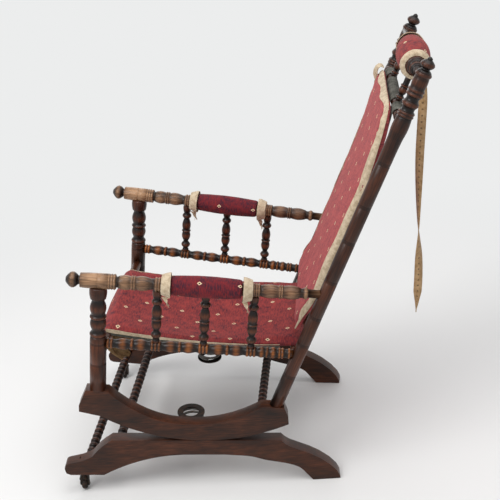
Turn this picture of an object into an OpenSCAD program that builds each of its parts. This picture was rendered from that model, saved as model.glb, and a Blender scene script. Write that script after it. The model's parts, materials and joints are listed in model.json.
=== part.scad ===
// Platform rocker: a chair whose curved rockers roll on the flat tops of a floor base.
// The origin is on the floor, below the middle of the chair. It faces -Y, and +X is the sitter's left.
// Turned pieces are revolved from tables whose rows are one turning each.

/* [Stance] */
// Angle by which the base leans back on its front casters, in degrees
base_tilt = 4.2; // [2:0.1:6]
// Angle by which the rocking frame leans back from the base at rest, in degrees
rest_tilt = 4; // [0:0.5:6]
// Angle by which each side frame turns in towards the back, in degrees
splay = 4.39; // [2:0.01:5]
// Distance from the chair's middle to a side frame's middle where the rockers bear
side_x = 237; // [225:1:270]

/* [Base] */
// Length of a runner in front of its middle
runner_front = 335; // [320:1:350]
// Length of a runner behind its middle
runner_rear = 332; // [320:1:350]
// Height of a runner's flat top
runner_h = 110; // [106:1:120]
// Thickness of the runner planks
runner_t = 32; // [28:1:36]
// Height of the arch under a runner
arch_h = 69; // [60:1:70]
// Height of the front foot's underside
toe_h = 9; // [7:1:12]
// Radius of the base's bobbin turned stretchers
stretcher_r = 11.5; // [10:0.5:13]

/* [Rockers] */
// Radius of the rolling edge
rocker_r = 460; // [440:5:490]
// Length of a rocker in front of its lowest point
rocker_front = 265; // [260:1:275]
// Length of a rocker behind its lowest point
rocker_rear = 229; // [225:1:235]
// Height of a rocker's front block
rocker_front_h = 122.5; // [118:0.5:128]
// Height of a rocker's rear block
rocker_rear_h = 105; // [102:0.5:110]
// Thickness of a rocker at its lowest point
rocker_waist = 44; // [42:1:52]
// Thickness of the rocker planks
rocker_t = 32; // [28:1:36]

/* [Posts and rails] */
// Radius of the front posts
front_post_r = 19; // [18:0.5:21]
// Distance of the front posts in front of the rockers' lowest point
front_post_y = 222.5; // [220:0.5:226]
// Radius of the back posts
back_post_r = 15.4; // [14.6:0.2:16.4]
// Distance of a back post's foot behind the rockers' lowest point
back_post_y = 197; // [194:0.5:200]
// Length of a back post above its rocker
back_post_l = 881; // [860:1:900]
// Angle by which the back posts lean, in degrees
rake = 16.05; // [14:0.05:18]
// Height of the arms' axis
arm_h = 403; // [390:1:420]
// Radius of the arms
arm_r = 17.7; // [16.7:0.1:19]
// Length of an arm in front of its front post
arm_nose = 71.5; // [60:0.5:80]
// Height of the side rails' axis
side_rail_h = 245; // [240:1:255]
// Radius of the side rails
side_rail_r = 13; // [12:0.2:14]
// Radius of the arm spindles
spindle_r = 12; // [10:0.2:13]
// Distance between neighbouring arm spindles
spindle_pitch = 108.5; // [104:0.5:112]
// Radius of the rails inside the seat and the back
rail_r = 11.5; // [10:0.5:12.5]

/* [Upholstery] */
// Half the width of the slung seat
seat_half_w = 169; // [150:1:173]
// Thickness of the stuffed seat where it passes round its rails
seat_t = 14; // [10:0.5:16]
// Thickness that the stuffing adds in the seat's middle
seat_crown = 14; // [6:1:18]
// Depth by which the seat's middle hangs below its edges
seat_sag = 40; // [20:1:46]
// Half the width of the back panel
panel_half_w = 189; // [160:1:190]
// Thickness of the padded back
panel_t = 20; // [14:1:24]
// Length of the head roll
head_roll_l = 180; // [160:2:190]
// Distance from the chair's middle to the head roll's, towards the sitter's left
head_roll_shift = 34; // [0:1:36]
// Radius of the head roll at its fullest
head_roll_r = 39.5; // [34:0.5:42]
// Length of the arm pads
arm_pad_l = 164; // [150:2:168]
// Radius of the arm pads at their fullest
arm_pad_r = 27.5; // [24:0.5:29]
// Length of braid that hangs loose behind the near post
loose_braid_l = 560; // [300:10:600]
// Width of the braid
braid_w = 19; // [12:1:22]

/* [Springs and casters] */
// Radius of a spring at the middle of its wire
spring_r = 27.5; // [24:0.5:28]
// Radius of the spring wire
spring_wire_r = 3; // [2.4:0.2:3.2]
// Turns of each spring
spring_turns = 5; // [4:1:6]
// Radius of the caster wheels
wheel_r = 15; // [13:0.5:17]
// Width of the caster wheels
wheel_w = 14; // [11:0.5:15]
// Distance from a caster's swivel axis to its axle
caster_trail = 6; // [4:0.5:8]

/* [Hidden] */
$fn = 48;

// Finishes
dark_wood = "#4a2c1d";
worn_wood = "#7a4c2c";
red_cloth = "#8e2f38";
cream_braid = "#d8c6a0";
jute = "#6b5a44";
iron = "#35343a";
steel = "#8f9094";

// Clearances and joinery that several pieces share
overrun = 5;
contact_gap = 0.3;
cloth_gap = 0.3;
fit = 0.1;
running_fit = 0.05;
tenon_r = 7;
small_tenon_r = 4.5;
foot_tenon_l = 28;
bead_steps = 6;
short_turning = 4.5;

// Places on the base, as [distance behind the runners' middle, height]
contact_y = 3.7;
toe_tip_h = 26;
finial_drop = 7.3;
stretcher_front_at = [-277, 46];
stretcher_middle_at = [-203, 89];
stretcher_rear_at = [129, 88];
caster_y = -293;
spring_y = -30;

// Places on the rocking frame, as [distance behind the rockers' lowest point, height]
seat_rail_front_at = [-front_post_y, 203];
seat_rail_rear_h = 215;
back_bottom_rail_h = 300;
cross_rail_share = 0.8377;
crest_rail_share = 0.9489;
panel_top_share = 0.8513;
cross_rail_along = back_post_l * cross_rail_share;
crest_rail_along = back_post_l * crest_rail_share;
crest_rail_front = 7;
back_spindle_x = 100;
arm_rear_reach = 245;

// Stance: the runners' heels stand on the floor at heel_y, and the base turns about them
heel_y = runner_rear;
function floor_line(y) = (y - heel_y) * tan(base_tilt);
function floor_y(p) = heel_y + (p[0] - heel_y) * cos(base_tilt) + p[1] * sin(base_tilt);
centre_h = runner_h + contact_gap + rocker_r;
frame_contact_y = rocker_r * sin(rest_tilt);
function base_from_frame(p) = [
    contact_y + p[0] * cos(rest_tilt) + (p[1] - rocker_r) * sin(rest_tilt),
    centre_h - p[0] * sin(rest_tilt) + (p[1] - rocker_r) * cos(rest_tilt)];
function frame_from_base(p) = [
    (p[0] - contact_y) * cos(rest_tilt) - (p[1] - centre_h) * sin(rest_tilt),
    rocker_r + (p[0] - contact_y) * sin(rest_tilt) + (p[1] - centre_h) * cos(rest_tilt)];

// Places along the raked back posts
function on_post(along, front) = [
    back_post_y + along * sin(rake) - front * cos(rake),
    rocker_rear_h + along * cos(rake) + front * sin(rake)];
function post_y_at(h) = back_post_y + (h - rocker_rear_h) * tan(rake);
seat_rail_rear_at = [post_y_at(seat_rail_rear_h), seat_rail_rear_h];
back_bottom_rail_at = [post_y_at(back_bottom_rail_h), back_bottom_rail_h];
cross_rail_at = on_post(cross_rail_along, crest_rail_front);

// The chair's middle, between the runners' toes and the finials
front_reach = floor_y([-runner_front, toe_tip_h]);
finial_at = on_post(back_post_l - finial_drop, -back_post_r);
crest_rail_at = on_post(crest_rail_along, crest_rail_front);
function level_reach(p) = floor_y(base_from_frame([frame_place(p[0])[1], p[1]]));
rear_reach = max(level_reach(finial_at), level_reach(crest_rail_at) + head_roll_r);
middle_y = (front_reach + rear_reach) / 2;

// Distance from the chair's middle, and distance back, of a place on a side frame's middle
function side_place(y, pivot_y) = [
    side_x - (y - pivot_y) * sin(splay),
    pivot_y + (y - pivot_y) * cos(splay)];
function base_place(y) = side_place(y, contact_y);
function frame_place(y) = side_place(y, frame_contact_y);

// Frames of reference
module in_base() {
    translate([0, heel_y - middle_y, 0])
        rotate([-base_tilt, 0, 0])
            translate([0, -heel_y, 0])
                children();
}

module in_frame() {
    in_base()
        translate([0, contact_y, centre_h])
            rotate([-rest_tilt, 0, 0])
                translate([0, 0, -rocker_r])
                    children();
}

module on_side(s, pivot_y) {
    mirror([s < 0 ? 1 : 0, 0, 0])
        translate([side_x, pivot_y, 0])
            rotate([0, 0, splay])
                translate([0, -pivot_y, 0])
                    children();
}

module on_base_side(s) {
    in_base()
        on_side(s, contact_y)
            children();
}

module on_frame_side(s) {
    in_frame()
        on_side(s, frame_contact_y)
            children();
}

module along_y() {
    rotate([-90, 0, 0])
        children();
}

module along_x() {
    rotate([0, 90, 0])
        children();
}

module at(p) {
    translate([0, p[0], p[1]])
        children();
}

// Turned pieces: each row is [length, radius at its start, middle and end], all as shares
function turning_starts(rows) =
    [for (i = 0, s = 0; i < len(rows); s = s + rows[i][0], i = i + 1) s];
function turning_total(rows) =
    turning_starts(rows)[len(rows) - 1] + rows[len(rows) - 1][0];
function turning_bulge(row) = row[2] - (row[1] + row[3]) / 2;
function turning_steps(row) =
    turning_bulge(row) == 0 ? 1 : (row[0] < short_turning ? 2 : bead_steps);
function follows_on(rows, i) = i > 0 && rows[i - 1][3] == rows[i][1];
function turned_points(rows, length, radius) =
    let (starts = turning_starts(rows), total = turning_total(rows))
    [for (i = [0 : len(rows) - 1])
        let (row = rows[i], steps = turning_steps(row))
        for (k = [(follows_on(rows, i) ? 1 : 0) : steps])
            let (t = k / steps)
            [radius * (row[1] + (row[3] - row[1]) * t + turning_bulge(row) * sin(180 * t)),
             length * (starts[i] + row[0] * t) / total]];

module turned(rows, length, radius) {
    rotate_extrude()
        polygon(concat([[0, 0]], turned_points(rows, length, radius), [[0, length]]));
}

// A row of equal beads, and a group of scribed rings on a plain cylinder
function beads(count, length, low, high) = [for (i = [1 : count]) [length, low, high, low]];
function scribes(count) = [for (i = [1 : count]) [3, 1, 0.93, 1]];

// Smooth curve through an outline's points
smooth_steps = 3;
function curve_point(a, b, c, d, t) =
    0.5 * (2 * b + (c - a) * t + (2 * a - 5 * b + 4 * c - d) * t * t
        + (3 * b - a - 3 * c + d) * t * t * t);
function smooth(p) = concat(
    [for (i = [0 : len(p) - 2])
        for (k = [0 : smooth_steps - 1])
            curve_point(p[max(i - 1, 0)], p[i], p[i + 1], p[min(i + 2, len(p) - 1)], k / smooth_steps)],
    [p[len(p) - 1]]);
function scaled(shares, w, h) = [for (p = shares) [p[0] * w, p[1] * h]];

// A plank cut to an outline of [distance back, height], centred on its side frame
module plank(outline, thickness) {
    translate([-thickness / 2, 0, 0])
        rotate([90, 0, 90])
            linear_extrude(thickness)
                polygon(outline);
}

// Runners
arch_middle_front = -30;
arch_power = 2.1;
toe_flat_end = -241;
toe_corner_y = -322;
toe_top_shares = [[0.648, 1], [0.704, 0.873], [0.743, 0.764], [0.775, 0.65], [0.803, 0.555],
    [0.878, 0.445], [0.955, 0.385], [0.99, 0.34], [1, 0.24], [0.99, 0.12]];
heel_top_shares = [[0.563, 1], [0.593, 0.909], [0.63, 0.836], [0.702, 0.745], [0.774, 0.655],
    [0.846, 0.536], [0.919, 0.373], [0.973, 0.2], [0.997, 0.064]];
heel_arch_shares = [[0.16, 1], [0.34, 0.93], [0.45, 0.78], [0.56, 0.68], [0.63, 0.6],
    [0.69, 0.49], [0.726, 0.35], [0.762, 0.145]];
heel_flat_start = 267;
sole_cut = 1;
arch_steps = 12;

function runner_outline() = concat(
    smooth(scaled([for (p = toe_top_shares) [-p[0], p[1]]], runner_front, runner_h)),
    [[toe_corner_y, toe_h]],
    [for (i = [0 : arch_steps])
        let (t = 1 - i / arch_steps)
        [arch_middle_front + (toe_flat_end - arch_middle_front) * t,
         arch_h - (arch_h - toe_h) * pow(t, arch_power)]],
    smooth(scaled(heel_arch_shares, runner_rear, arch_h)),
    [[heel_flat_start, floor_line(heel_flat_start) - sole_cut], [heel_y, -sole_cut]],
    [for (i = [len(heel_top_shares) - 1 : -1 : 0])
        [heel_top_shares[i][0] * runner_rear, heel_top_shares[i][1] * runner_h]]);

bracket_screw_l = 12;
bracket_screw_r = 2;
bracket_screw_spread = 19;
bracket_screw_rise = 16;
socket_r = 7;
socket_l = 34;
spring_seat_h = 75;
spring_top_h = 145;
upper_seat_at = frame_from_base([spring_y, spring_top_h]);
floor_slab = [4 * side_x, 4 * runner_rear, runner_h];

module runner(s) {
    color(dark_wood)
        difference() {
            on_base_side(s)
                difference() {
                    plank(runner_outline(), runner_t);
                    for (p = [stretcher_front_at, stretcher_middle_at, stretcher_rear_at])
                        cross_bore(p, runner_t, fit);
                    translate([0, caster_y, toe_h - overrun])
                        cylinder(h = socket_l + 2 * overrun, r = socket_r + fit);
                    at([spring_y, spring_seat_h])
                        bracket_screw_holes(-1, runner_t);
                }
            translate([-floor_slab[0] / 2, -floor_slab[1] / 2, -floor_slab[2]])
                cube(floor_slab);
        }
}

// A blind bore from the inner face, level and square to the chair's middle plane
module cross_bore(p, depth, clearance) {
    at(p)
        rotate([0, 0, -splay])
            along_x()
                translate([0, 0, -depth])
                    cylinder(h = depth + tenon_end_gap, r = tenon_r + clearance);
}

tenon_end_gap = 0.5;

// Places of a bracket's two screws; up is -1 below a spring and 1 above it
module at_bracket_screws(up) {
    for (side = [-1, 1])
        translate([0, side * bracket_screw_spread, -up * bracket_screw_rise])
            children();
}

module bracket_screw_holes(up, thickness) {
    at_bracket_screws(up)
        translate([-thickness / 2 - overrun, 0, 0])
            along_x()
                cylinder(h = bracket_screw_l + overrun + tenon_end_gap, r = bracket_screw_r + running_fit);
}

// Bobbin turned stretchers of the base
bobbin_l = 19.5;
bobbin_shares = [[3, 0.8, 0.8, 0.8], [13.5, 0.8, 1, 0.8], [3, 0.78, 0.92, 0.78]];

module stretcher(p) {
    half = base_place(p[0])[0];
    back = base_place(p[0])[1];
    count = floor(2 * half / bobbin_l);
    rows = [for (i = [1 : count]) each bobbin_shares];
    color(dark_wood)
        in_base() {
            difference() {
                at([back, p[1]])
                    along_x()
                        translate([0, 0, -half])
                            turned(rows, 2 * half, stretcher_r);
                for (s = [-1, 1])
                    on_side(s, contact_y)
                        translate([-runner_t / 2, p[0] - runner_t, 0])
                            cube([2 * runner_t, 2 * runner_t, 2 * runner_h]);
            }
            at([back, p[1]])
                along_x()
                    translate([0, 0, -half])
                        cylinder(h = 2 * half, r = tenon_r);
        }
}

// Springs and their brackets
bracket_t = 3;
bracket_w = 54;
bracket_h = 34;
seat_ring_r = 33;
seat_ring_bore_r = 19;
tongue_w = 30;
spring_side_gap = 1;
spring_offset = spring_r + spring_wire_r + bracket_t + spring_side_gap;
screw_head_r = 4;
screw_head_h = 2;
closed_turn_gap = 0.8;
rings_per_turn = 8;
wire_sides = 6;

// A plate on a plank's inner face with a ring that seats the spring; up is 1 above a spring
module spring_bracket(up, thickness) {
    ring_low = up < 0 ? -bracket_t : 0;
    plate_low = up < 0 ? -bracket_t : bracket_t - bracket_h;
    color(iron)
        difference() {
            union() {
                translate([-thickness / 2 - bracket_t, -bracket_w / 2, plate_low])
                    cube([bracket_t, bracket_w, bracket_h]);
                translate([-thickness / 2 - spring_offset, 0, ring_low])
                    cylinder(h = bracket_t, r = seat_ring_r);
                translate([-thickness / 2 - spring_offset, -tongue_w / 2, ring_low])
                    cube([spring_offset, tongue_w, bracket_t]);
            }
            translate([-thickness / 2 - spring_offset, 0, -overrun])
                cylinder(h = 2 * overrun, r = seat_ring_bore_r);
            bracket_screw_holes(up, thickness + 2 * overrun);
        }
}

module bracket_screws(up, thickness) {
    color(steel)
        at_bracket_screws(up)
            translate([-thickness / 2 - bracket_t, 0, 0])
                along_x() {
                    cylinder(h = bracket_t + bracket_screw_l, r = bracket_screw_r);
                    translate([0, 0, -screw_head_h])
                        cylinder(h = screw_head_h, r = screw_head_r);
                }
}

module lower_bracket_place(s) {
    on_base_side(s)
        at([spring_y, spring_seat_h])
            children();
}

module upper_bracket_place(s) {
    on_frame_side(s)
        at(upper_seat_at)
            rotate([rest_tilt, 0, 0])
                children();
}

spring_climb = spring_top_h - spring_seat_h - 2 * spring_wire_r - 2 * fit;
closed_turn = 2 * spring_wire_r + closed_turn_gap;
open_turn = (spring_climb - 2 * closed_turn) / (spring_turns - 2);
function spring_rise(t) =
    t < 1 ? closed_turn * t :
    t < spring_turns - 1 ? closed_turn + (t - 1) * open_turn :
    spring_climb - closed_turn * (spring_turns - t);
function wire_ring(t) =
    [for (k = [0 : wire_sides - 1])
        let (a = 90 - 360 * k / wire_sides, reach = spring_r + spring_wire_r * cos(a))
        [reach * cos(360 * t), reach * sin(360 * t),
         spring_wire_r + fit + spring_rise(t) + spring_wire_r * sin(a)]];
spring_rings = [for (i = [0 : spring_turns * rings_per_turn]) wire_ring(i / rings_per_turn)];
least_spring_gap = min([for (i = [0 : len(spring_rings) - rings_per_turn])
    for (j = [i + rings_per_turn - 1 : len(spring_rings) - 1])
        for (p = spring_rings[i])
            for (q = spring_rings[j])
                norm(p - q)]);

module coil_spring(s) {
    echo("Least gap between a spring's turns, mm", least_spring_gap);
    color(steel)
        on_base_side(s)
            translate([-runner_t / 2 - spring_offset, spring_y, spring_seat_h])
                tube_skin(spring_rings);
}

// Skin over a row of rings that all have as many points
module tube_skin(rings) {
    n = len(rings[0]);
    last = len(rings) - 1;
    polyhedron(
        points = [for (ring = rings) each ring],
        faces = concat(
            [for (i = [0 : last - 1])
                for (k = [0 : n - 1])
                    let (a = i * n + k, b = i * n + (k + 1) % n)
                    each [[a, b + n, b], [a, a + n, b + n]]],
            [for (k = [1 : n - 2]) [0, k, k + 1]],
            [for (k = [1 : n - 2]) [last * n, last * n + k + 1, last * n + k]]));
}

// Casters
socket_flange_r = 14;
socket_flange_t = 2.5;
stem_r = 4.5;
stem_l = 30;
fork_gap = 0.8;
prong_t = 3;
prong_w = 12;
crown_t = 4;
crown_clearance = 2.5;
caster_neck_r = 6.5;
axle_r = 2.5;
axle_head = 1.5;
hub_gap = 0.5;
tread_r = wheel_w / 2;
wheel_back = contact_y + (caster_y - contact_y) * cos(splay) - caster_trail * sin(splay);
wheel_floor_h = (wheel_r - tread_r) * cos(base_tilt) + tread_r;
axle_h = wheel_floor_h / cos(base_tilt) + floor_line(wheel_back);
crown_low = axle_h + wheel_r + crown_clearance;
flange_low = toe_h - socket_flange_t;
fork_half = wheel_w / 2 + fork_gap + prong_t;

module caster_place(s) {
    on_base_side(s)
        translate([0, caster_y, 0])
            children();
}

module caster_socket(s) {
    color(iron)
        caster_place(s)
            difference() {
                union() {
                    translate([0, 0, flange_low])
                        cylinder(h = socket_flange_t, r = socket_flange_r);
                    translate([0, 0, flange_low])
                        cylinder(h = socket_flange_t + socket_l, r = socket_r);
                }
                translate([0, 0, flange_low - overrun])
                    cylinder(h = overrun + stem_l + socket_flange_t, r = stem_r + running_fit);
            }
}

module caster_fork(s) {
    color(iron)
        caster_place(s)
            difference() {
                union() {
                    translate([0, 0, crown_low])
                        cylinder(h = flange_low - contact_gap - crown_low, r = caster_neck_r);
                    translate([0, 0, crown_low])
                        cylinder(h = flange_low + stem_l - crown_low, r = stem_r);
                    translate([-caster_trail - prong_w / 2, -fork_half, crown_low])
                        cube([caster_trail + prong_w, 2 * fork_half, crown_t]);
                    for (side = [-1, 1])
                        translate([-caster_trail, side * (fork_half - prong_t / 2), 0])
                            fork_prong();
                }
                translate([-caster_trail, -fork_half - overrun, axle_h])
                    along_y()
                        cylinder(h = 2 * (fork_half + overrun), r = axle_r + running_fit);
            }
}

module fork_prong() {
    translate([-prong_w / 2, -prong_t / 2, axle_h])
        cube([prong_w, prong_t, crown_low - axle_h + crown_t]);
    translate([0, -prong_t / 2, axle_h])
        along_y()
            cylinder(h = prong_t, r = prong_w / 2);
}

module caster_axle(s) {
    color(steel)
        caster_place(s)
            translate([-caster_trail, 0, axle_h])
                along_y()
                    translate([0, 0, -fork_half - axle_head])
                        cylinder(h = 2 * (fork_half + axle_head), r = axle_r);
}

module caster_wheel(s) {
    color(iron)
        caster_place(s)
            translate([-caster_trail, 0, axle_h])
                along_y()
                    rotate_extrude()
                        difference() {
                            union() {
                                translate([wheel_r - tread_r, 0])
                                    circle(r = tread_r);
                                translate([0, -wheel_w / 2])
                                    square([wheel_r - tread_r, wheel_w]);
                            }
                            translate([-wheel_r, -wheel_w])
                                square([wheel_r + axle_r + running_fit, 2 * wheel_w]);
                        }
}

// Rockers: the rolling edge is an arc, flattened under the nose, and the top is scooped
nose_angle = -28;
nose_low_share = 0.514;
nose_shoulder_share = 0.65;
nose_top_l = 15;
front_block_l = 52;
rear_block_start = 163;
rear_block_end = 215;
rear_end_share = 0.62;
rear_corner_share = 0.78;
rear_corner_l = 3;
scoop_low_y = -20;
scoop_front_power = 2.05;
scoop_rear_power = 2.2;
scoop_steps = 12;
roll_steps = 24;
rear_angle = asin(rocker_rear / rocker_r);
front_block_end = nose_top_l - rocker_front + front_block_l;

function rolling_edge(a) = [rocker_r * sin(a), rocker_r * (1 - cos(a))];
function rocker_outline() = concat(
    [[-rocker_front, rocker_front_h * nose_low_share]],
    [for (i = [0 : roll_steps]) rolling_edge(nose_angle + (rear_angle - nose_angle) * i / roll_steps)],
    [[rocker_rear - rear_corner_l, rocker_rear_h * rear_corner_share], [rear_block_end, rocker_rear_h]],
    [for (i = [0 : scoop_steps])
        let (t = 1 - i / scoop_steps)
        [scoop_low_y + (rear_block_start - scoop_low_y) * t,
         rocker_waist + (rocker_rear_h - rocker_waist) * pow(t, scoop_rear_power)]],
    [for (i = [1 : scoop_steps])
        let (t = i / scoop_steps)
        [scoop_low_y + (front_block_end - scoop_low_y) * t,
         rocker_waist + (rocker_front_h - rocker_waist) * pow(t, scoop_front_power)]],
    [[nose_top_l - rocker_front, rocker_front_h],
     [-rocker_front, rocker_front_h * nose_shoulder_share]]);

module rocker(s) {
    color(dark_wood)
        on_frame_side(s)
            difference() {
                plank(rocker_outline(), rocker_t);
                translate([0, -front_post_y, rocker_front_h - foot_tenon_l - tenon_end_gap])
                    cylinder(h = foot_tenon_l + overrun, r = tenon_r + fit);
                back_post_line()
                    translate([0, 0, -foot_tenon_l - tenon_end_gap])
                        cylinder(h = foot_tenon_l + overrun, r = tenon_r + fit);
                at(upper_seat_at)
                    rotate([rest_tilt, 0, 0])
                        bracket_screw_holes(1, rocker_t);
            }
}

// The raked line of a back post, from its foot up
module back_post_line() {
    at([back_post_y, rocker_rear_h])
        rotate([-rake, 0, 0])
            children();
}

module back_post_clearance(radius) {
    back_post_line()
        translate([0, 0, -overrun])
            cylinder(h = back_post_l, r = radius);
}

// Front posts
front_post_shares = concat(
    [[66, 1, 1, 1]], scribes(2), [[49, 1, 1, 1]], scribes(2), [[14, 1, 0.98, 0.94]],
    [[11, 0.84, 1.02, 0.84], [10, 0.84, 0.76, 0.84], [22, 0.84, 0.98, 0.86], [3, 0.86, 0.8, 0.86],
     [8, 0.86, 1, 0.86], [5, 0.86, 0.8, 0.84], [28, 0.84, 0.98, 0.79], [10, 0.79, 0.75, 0.84],
     [28, 0.95, 1.05, 0.98]]);
arm_seat_share = 0.8;
front_post_top = arm_h - arm_r * arm_seat_share;

module front_post(s) {
    color(dark_wood)
        on_frame_side(s)
            difference() {
                union() {
                    difference() {
                        translate([0, -front_post_y, rocker_front_h])
                            turned(front_post_shares, front_post_top - rocker_front_h, front_post_r);
                        at([-front_post_y - 2 * front_post_r, arm_h])
                            along_y()
                                cylinder(h = 4 * front_post_r, r = arm_r + fit);
                    }
                    translate([0, -front_post_y, rocker_front_h - foot_tenon_l])
                        cylinder(h = foot_tenon_l + arm_h - rocker_front_h, r = tenon_r);
                }
                at([-front_post_y - tenon_end_gap, side_rail_h])
                    along_y()
                        cylinder(h = 2 * front_post_r, r = tenon_r + fit);
                cross_bore(seat_rail_front_at, 2 * front_post_r, fit);
            }
}

// Back posts
back_post_shares = concat(
    [[88, 1, 1, 1]], scribes(3), [[79, 1, 1, 1]], scribes(3), [[66, 1, 1, 1]], scribes(3),
    [[87, 1, 1, 1]], scribes(3), [[94, 1, 1, 1]], scribes(3), [[79, 1, 1, 1]], scribes(3),
    [[95, 1, 1, 1]], scribes(3), [[57, 1, 1, 1.05], [47, 1.05, 1.17, 1.05]],
    beads(2, 6.5, 1.04, 1.17),
    [[10, 0.95, 0.88, 0.95], [13, 0.98, 1.17, 0.98], [10, 0.95, 0.88, 0.95]],
    beads(2, 9, 1, 1.17),
    [[26, 1, 1.08, 1], [9, 1, 1.17, 1], [7, 1.02, 0.85, 0.52], [20, 0.52, 1.02, 0.4],
     [6, 0.36, 0.34, 0.1]]);
turned_head_share = 1.18;

module back_post(s) {
    color(dark_wood)
        on_frame_side(s)
            difference() {
                union() {
                    difference() {
                        back_post_line()
                            translate([0, 0, -overrun])
                                turned(back_post_shares, back_post_l + overrun, back_post_r);
                        translate([-rocker_t, back_post_y - 2 * back_post_r, 0])
                            cube([2 * rocker_t, 4 * back_post_r, rocker_rear_h]);
                    }
                    back_post_line()
                        translate([0, 0, -foot_tenon_l])
                            cylinder(h = 2 * foot_tenon_l, r = tenon_r);
                }
                for (h = [side_rail_h, arm_h])
                    at([post_y_at(h) - 2 * back_post_r, h])
                        along_y()
                            cylinder(h = 2 * back_post_r + tenon_end_gap, r = tenon_r + fit);
                cross_bore(seat_rail_rear_at, 2 * back_post_r, running_fit);
                cross_bore(back_bottom_rail_at, 2 * back_post_r, fit);
                cross_bore(cross_rail_at, 2 * back_post_r, fit);
                cross_bore(crest_rail_at, 2 * back_post_r, fit);
            }
}

// Arms
arm_shares = concat(
    [[27, 0.34, 1.02, 0.62], [5, 0.6, 0.56, 0.6], [38, 0.94, 0.99, 1], [2, 1, 0.94, 1], [21, 1, 1, 1]],
    beads(3, 6, 0.91, 1.02),
    [[6, 0.8, 0.7, 0.8], [27, 0.8, 0.95, 0.82]],
    beads(2, 5.5, 0.82, 0.95),
    [[31, 0.82, 0.94, 0.76], [11, 0.76, 0.7, 0.76]],
    beads(2, 6.5, 0.8, 0.91),
    [[205, 0.8, 0.8, 0.8]],
    beads(3, 5.33, 0.8, 0.91),
    [[4, 0.76, 0.7, 0.76], [37, 0.76, 0.89, 0.76]],
    beads(2, 5, 0.76, 0.89),
    [[37, 0.76, 0.89, 0.7], [7, 0.68, 0.6, 0.62], [13, 0.57, 0.78, 0.57]]);
arm_core_share = 0.8;
arm_ring_share = 0.91;
arm_neck_share = 0.54;
spindle_middle_y = 17.5;
spindle_tenon_stop = 4;

module arm_rail(s) {
    front = -front_post_y - arm_nose;
    color(worn_wood)
        on_frame_side(s)
            difference() {
                union() {
                    at([front, arm_h])
                        along_y()
                            turned(arm_shares, arm_rear_reach - front, arm_r);
                    difference() {
                        at([arm_rear_reach - overrun, arm_h])
                            along_y()
                                cylinder(h = post_y_at(arm_h) - arm_rear_reach, r = arm_r * arm_neck_share);
                        back_post_clearance(back_post_r + fit);
                    }
                    at([arm_rear_reach - overrun, arm_h])
                        along_y()
                            cylinder(h = post_y_at(arm_h) - arm_rear_reach + overrun, r = tenon_r);
                }
                translate([0, -front_post_y, front_post_top - overrun])
                    cylinder(h = arm_h - front_post_top + overrun + tenon_end_gap, r = tenon_r + fit);
                for (k = [-1 : 1])
                    translate([0, spindle_middle_y + k * spindle_pitch, front_post_top - overrun])
                        cylinder(h = arm_h - spindle_tenon_stop - front_post_top + overrun + tenon_end_gap,
                            r = small_tenon_r + fit);
            }
}

// Side rails below the arms
rail_unit_shares = [[9, 0.8, 0.74, 0.8], [26, 0.8, 1, 0.84], [3, 0.84, 0.8, 0.84], [9, 0.84, 1, 0.84],
    [3, 0.84, 0.8, 0.84], [26, 0.84, 1, 0.8], [9, 0.8, 0.74, 0.8]];
side_rail_shares = concat(
    beads(2, 7.75, 0.8, 0.97), rail_unit_shares, beads(3, 8, 0.8, 0.98), rail_unit_shares,
    beads(3, 8, 0.8, 0.98), rail_unit_shares, beads(3, 8, 0.8, 0.98),
    [[5, 0.8, 0.76, 0.8], [14, 0.8, 1, 0.84], [3, 0.84, 0.8, 0.84], [6, 0.84, 0.98, 0.84],
     [4, 0.84, 0.8, 0.84], [14, 0.84, 1, 0.8], [4, 0.8, 0.76, 0.8]],
    beads(2, 7, 0.8, 0.97),
    [[9, 0.8, 0.76, 0.8], [6, 0.8, 0.95, 0.8], [6, 0.8, 0.8, 0.8]]);
rail_core_share = 0.7;
spindle_bore_depth = 2.5;

side_rail_seat_share = 0.9;

module side_rail(s) {
    front = -front_post_y + front_post_r;
    rear = post_y_at(side_rail_h) - back_post_r * side_rail_seat_share;
    axis_l = post_y_at(side_rail_h) + front_post_y;
    color(dark_wood)
        on_frame_side(s)
            difference() {
                union() {
                    difference() {
                        union() {
                            at([front, side_rail_h])
                                along_y()
                                    turned(side_rail_shares, rear - front, side_rail_r);
                            at([-front_post_y, side_rail_h])
                                along_y()
                                    cylinder(h = axis_l, r = side_rail_r * rail_core_share);
                        }
                        translate([0, -front_post_y, rocker_front_h])
                            cylinder(h = arm_h - rocker_front_h, r = front_post_r + fit);
                        back_post_clearance(back_post_r + fit);
                    }
                    at([-front_post_y, side_rail_h])
                        along_y()
                            cylinder(h = axis_l, r = tenon_r);
                }
                for (k = [-1 : 1])
                    translate([0, spindle_middle_y + k * spindle_pitch, side_rail_h - spindle_bore_depth])
                        cylinder(h = 2 * side_rail_r, r = small_tenon_r + fit);
            }
}

// Arm spindles
spindle_shares = [[7, 0.66, 0.7, 0.66], [5, 0.58, 0.54, 0.62], [15, 0.66, 1, 0.66],
    [7, 0.62, 0.55, 0.64], [24, 0.66, 0.96, 0.78], [6, 0.78, 1, 0.78], [30, 0.78, 0.96, 0.66],
    [5, 0.66, 0.6, 0.7], [13, 0.72, 1, 0.72], [5, 0.7, 0.66, 0.72], [18, 0.75, 0.88, 0.86]];
spindle_foot_share = 0.85;

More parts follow.
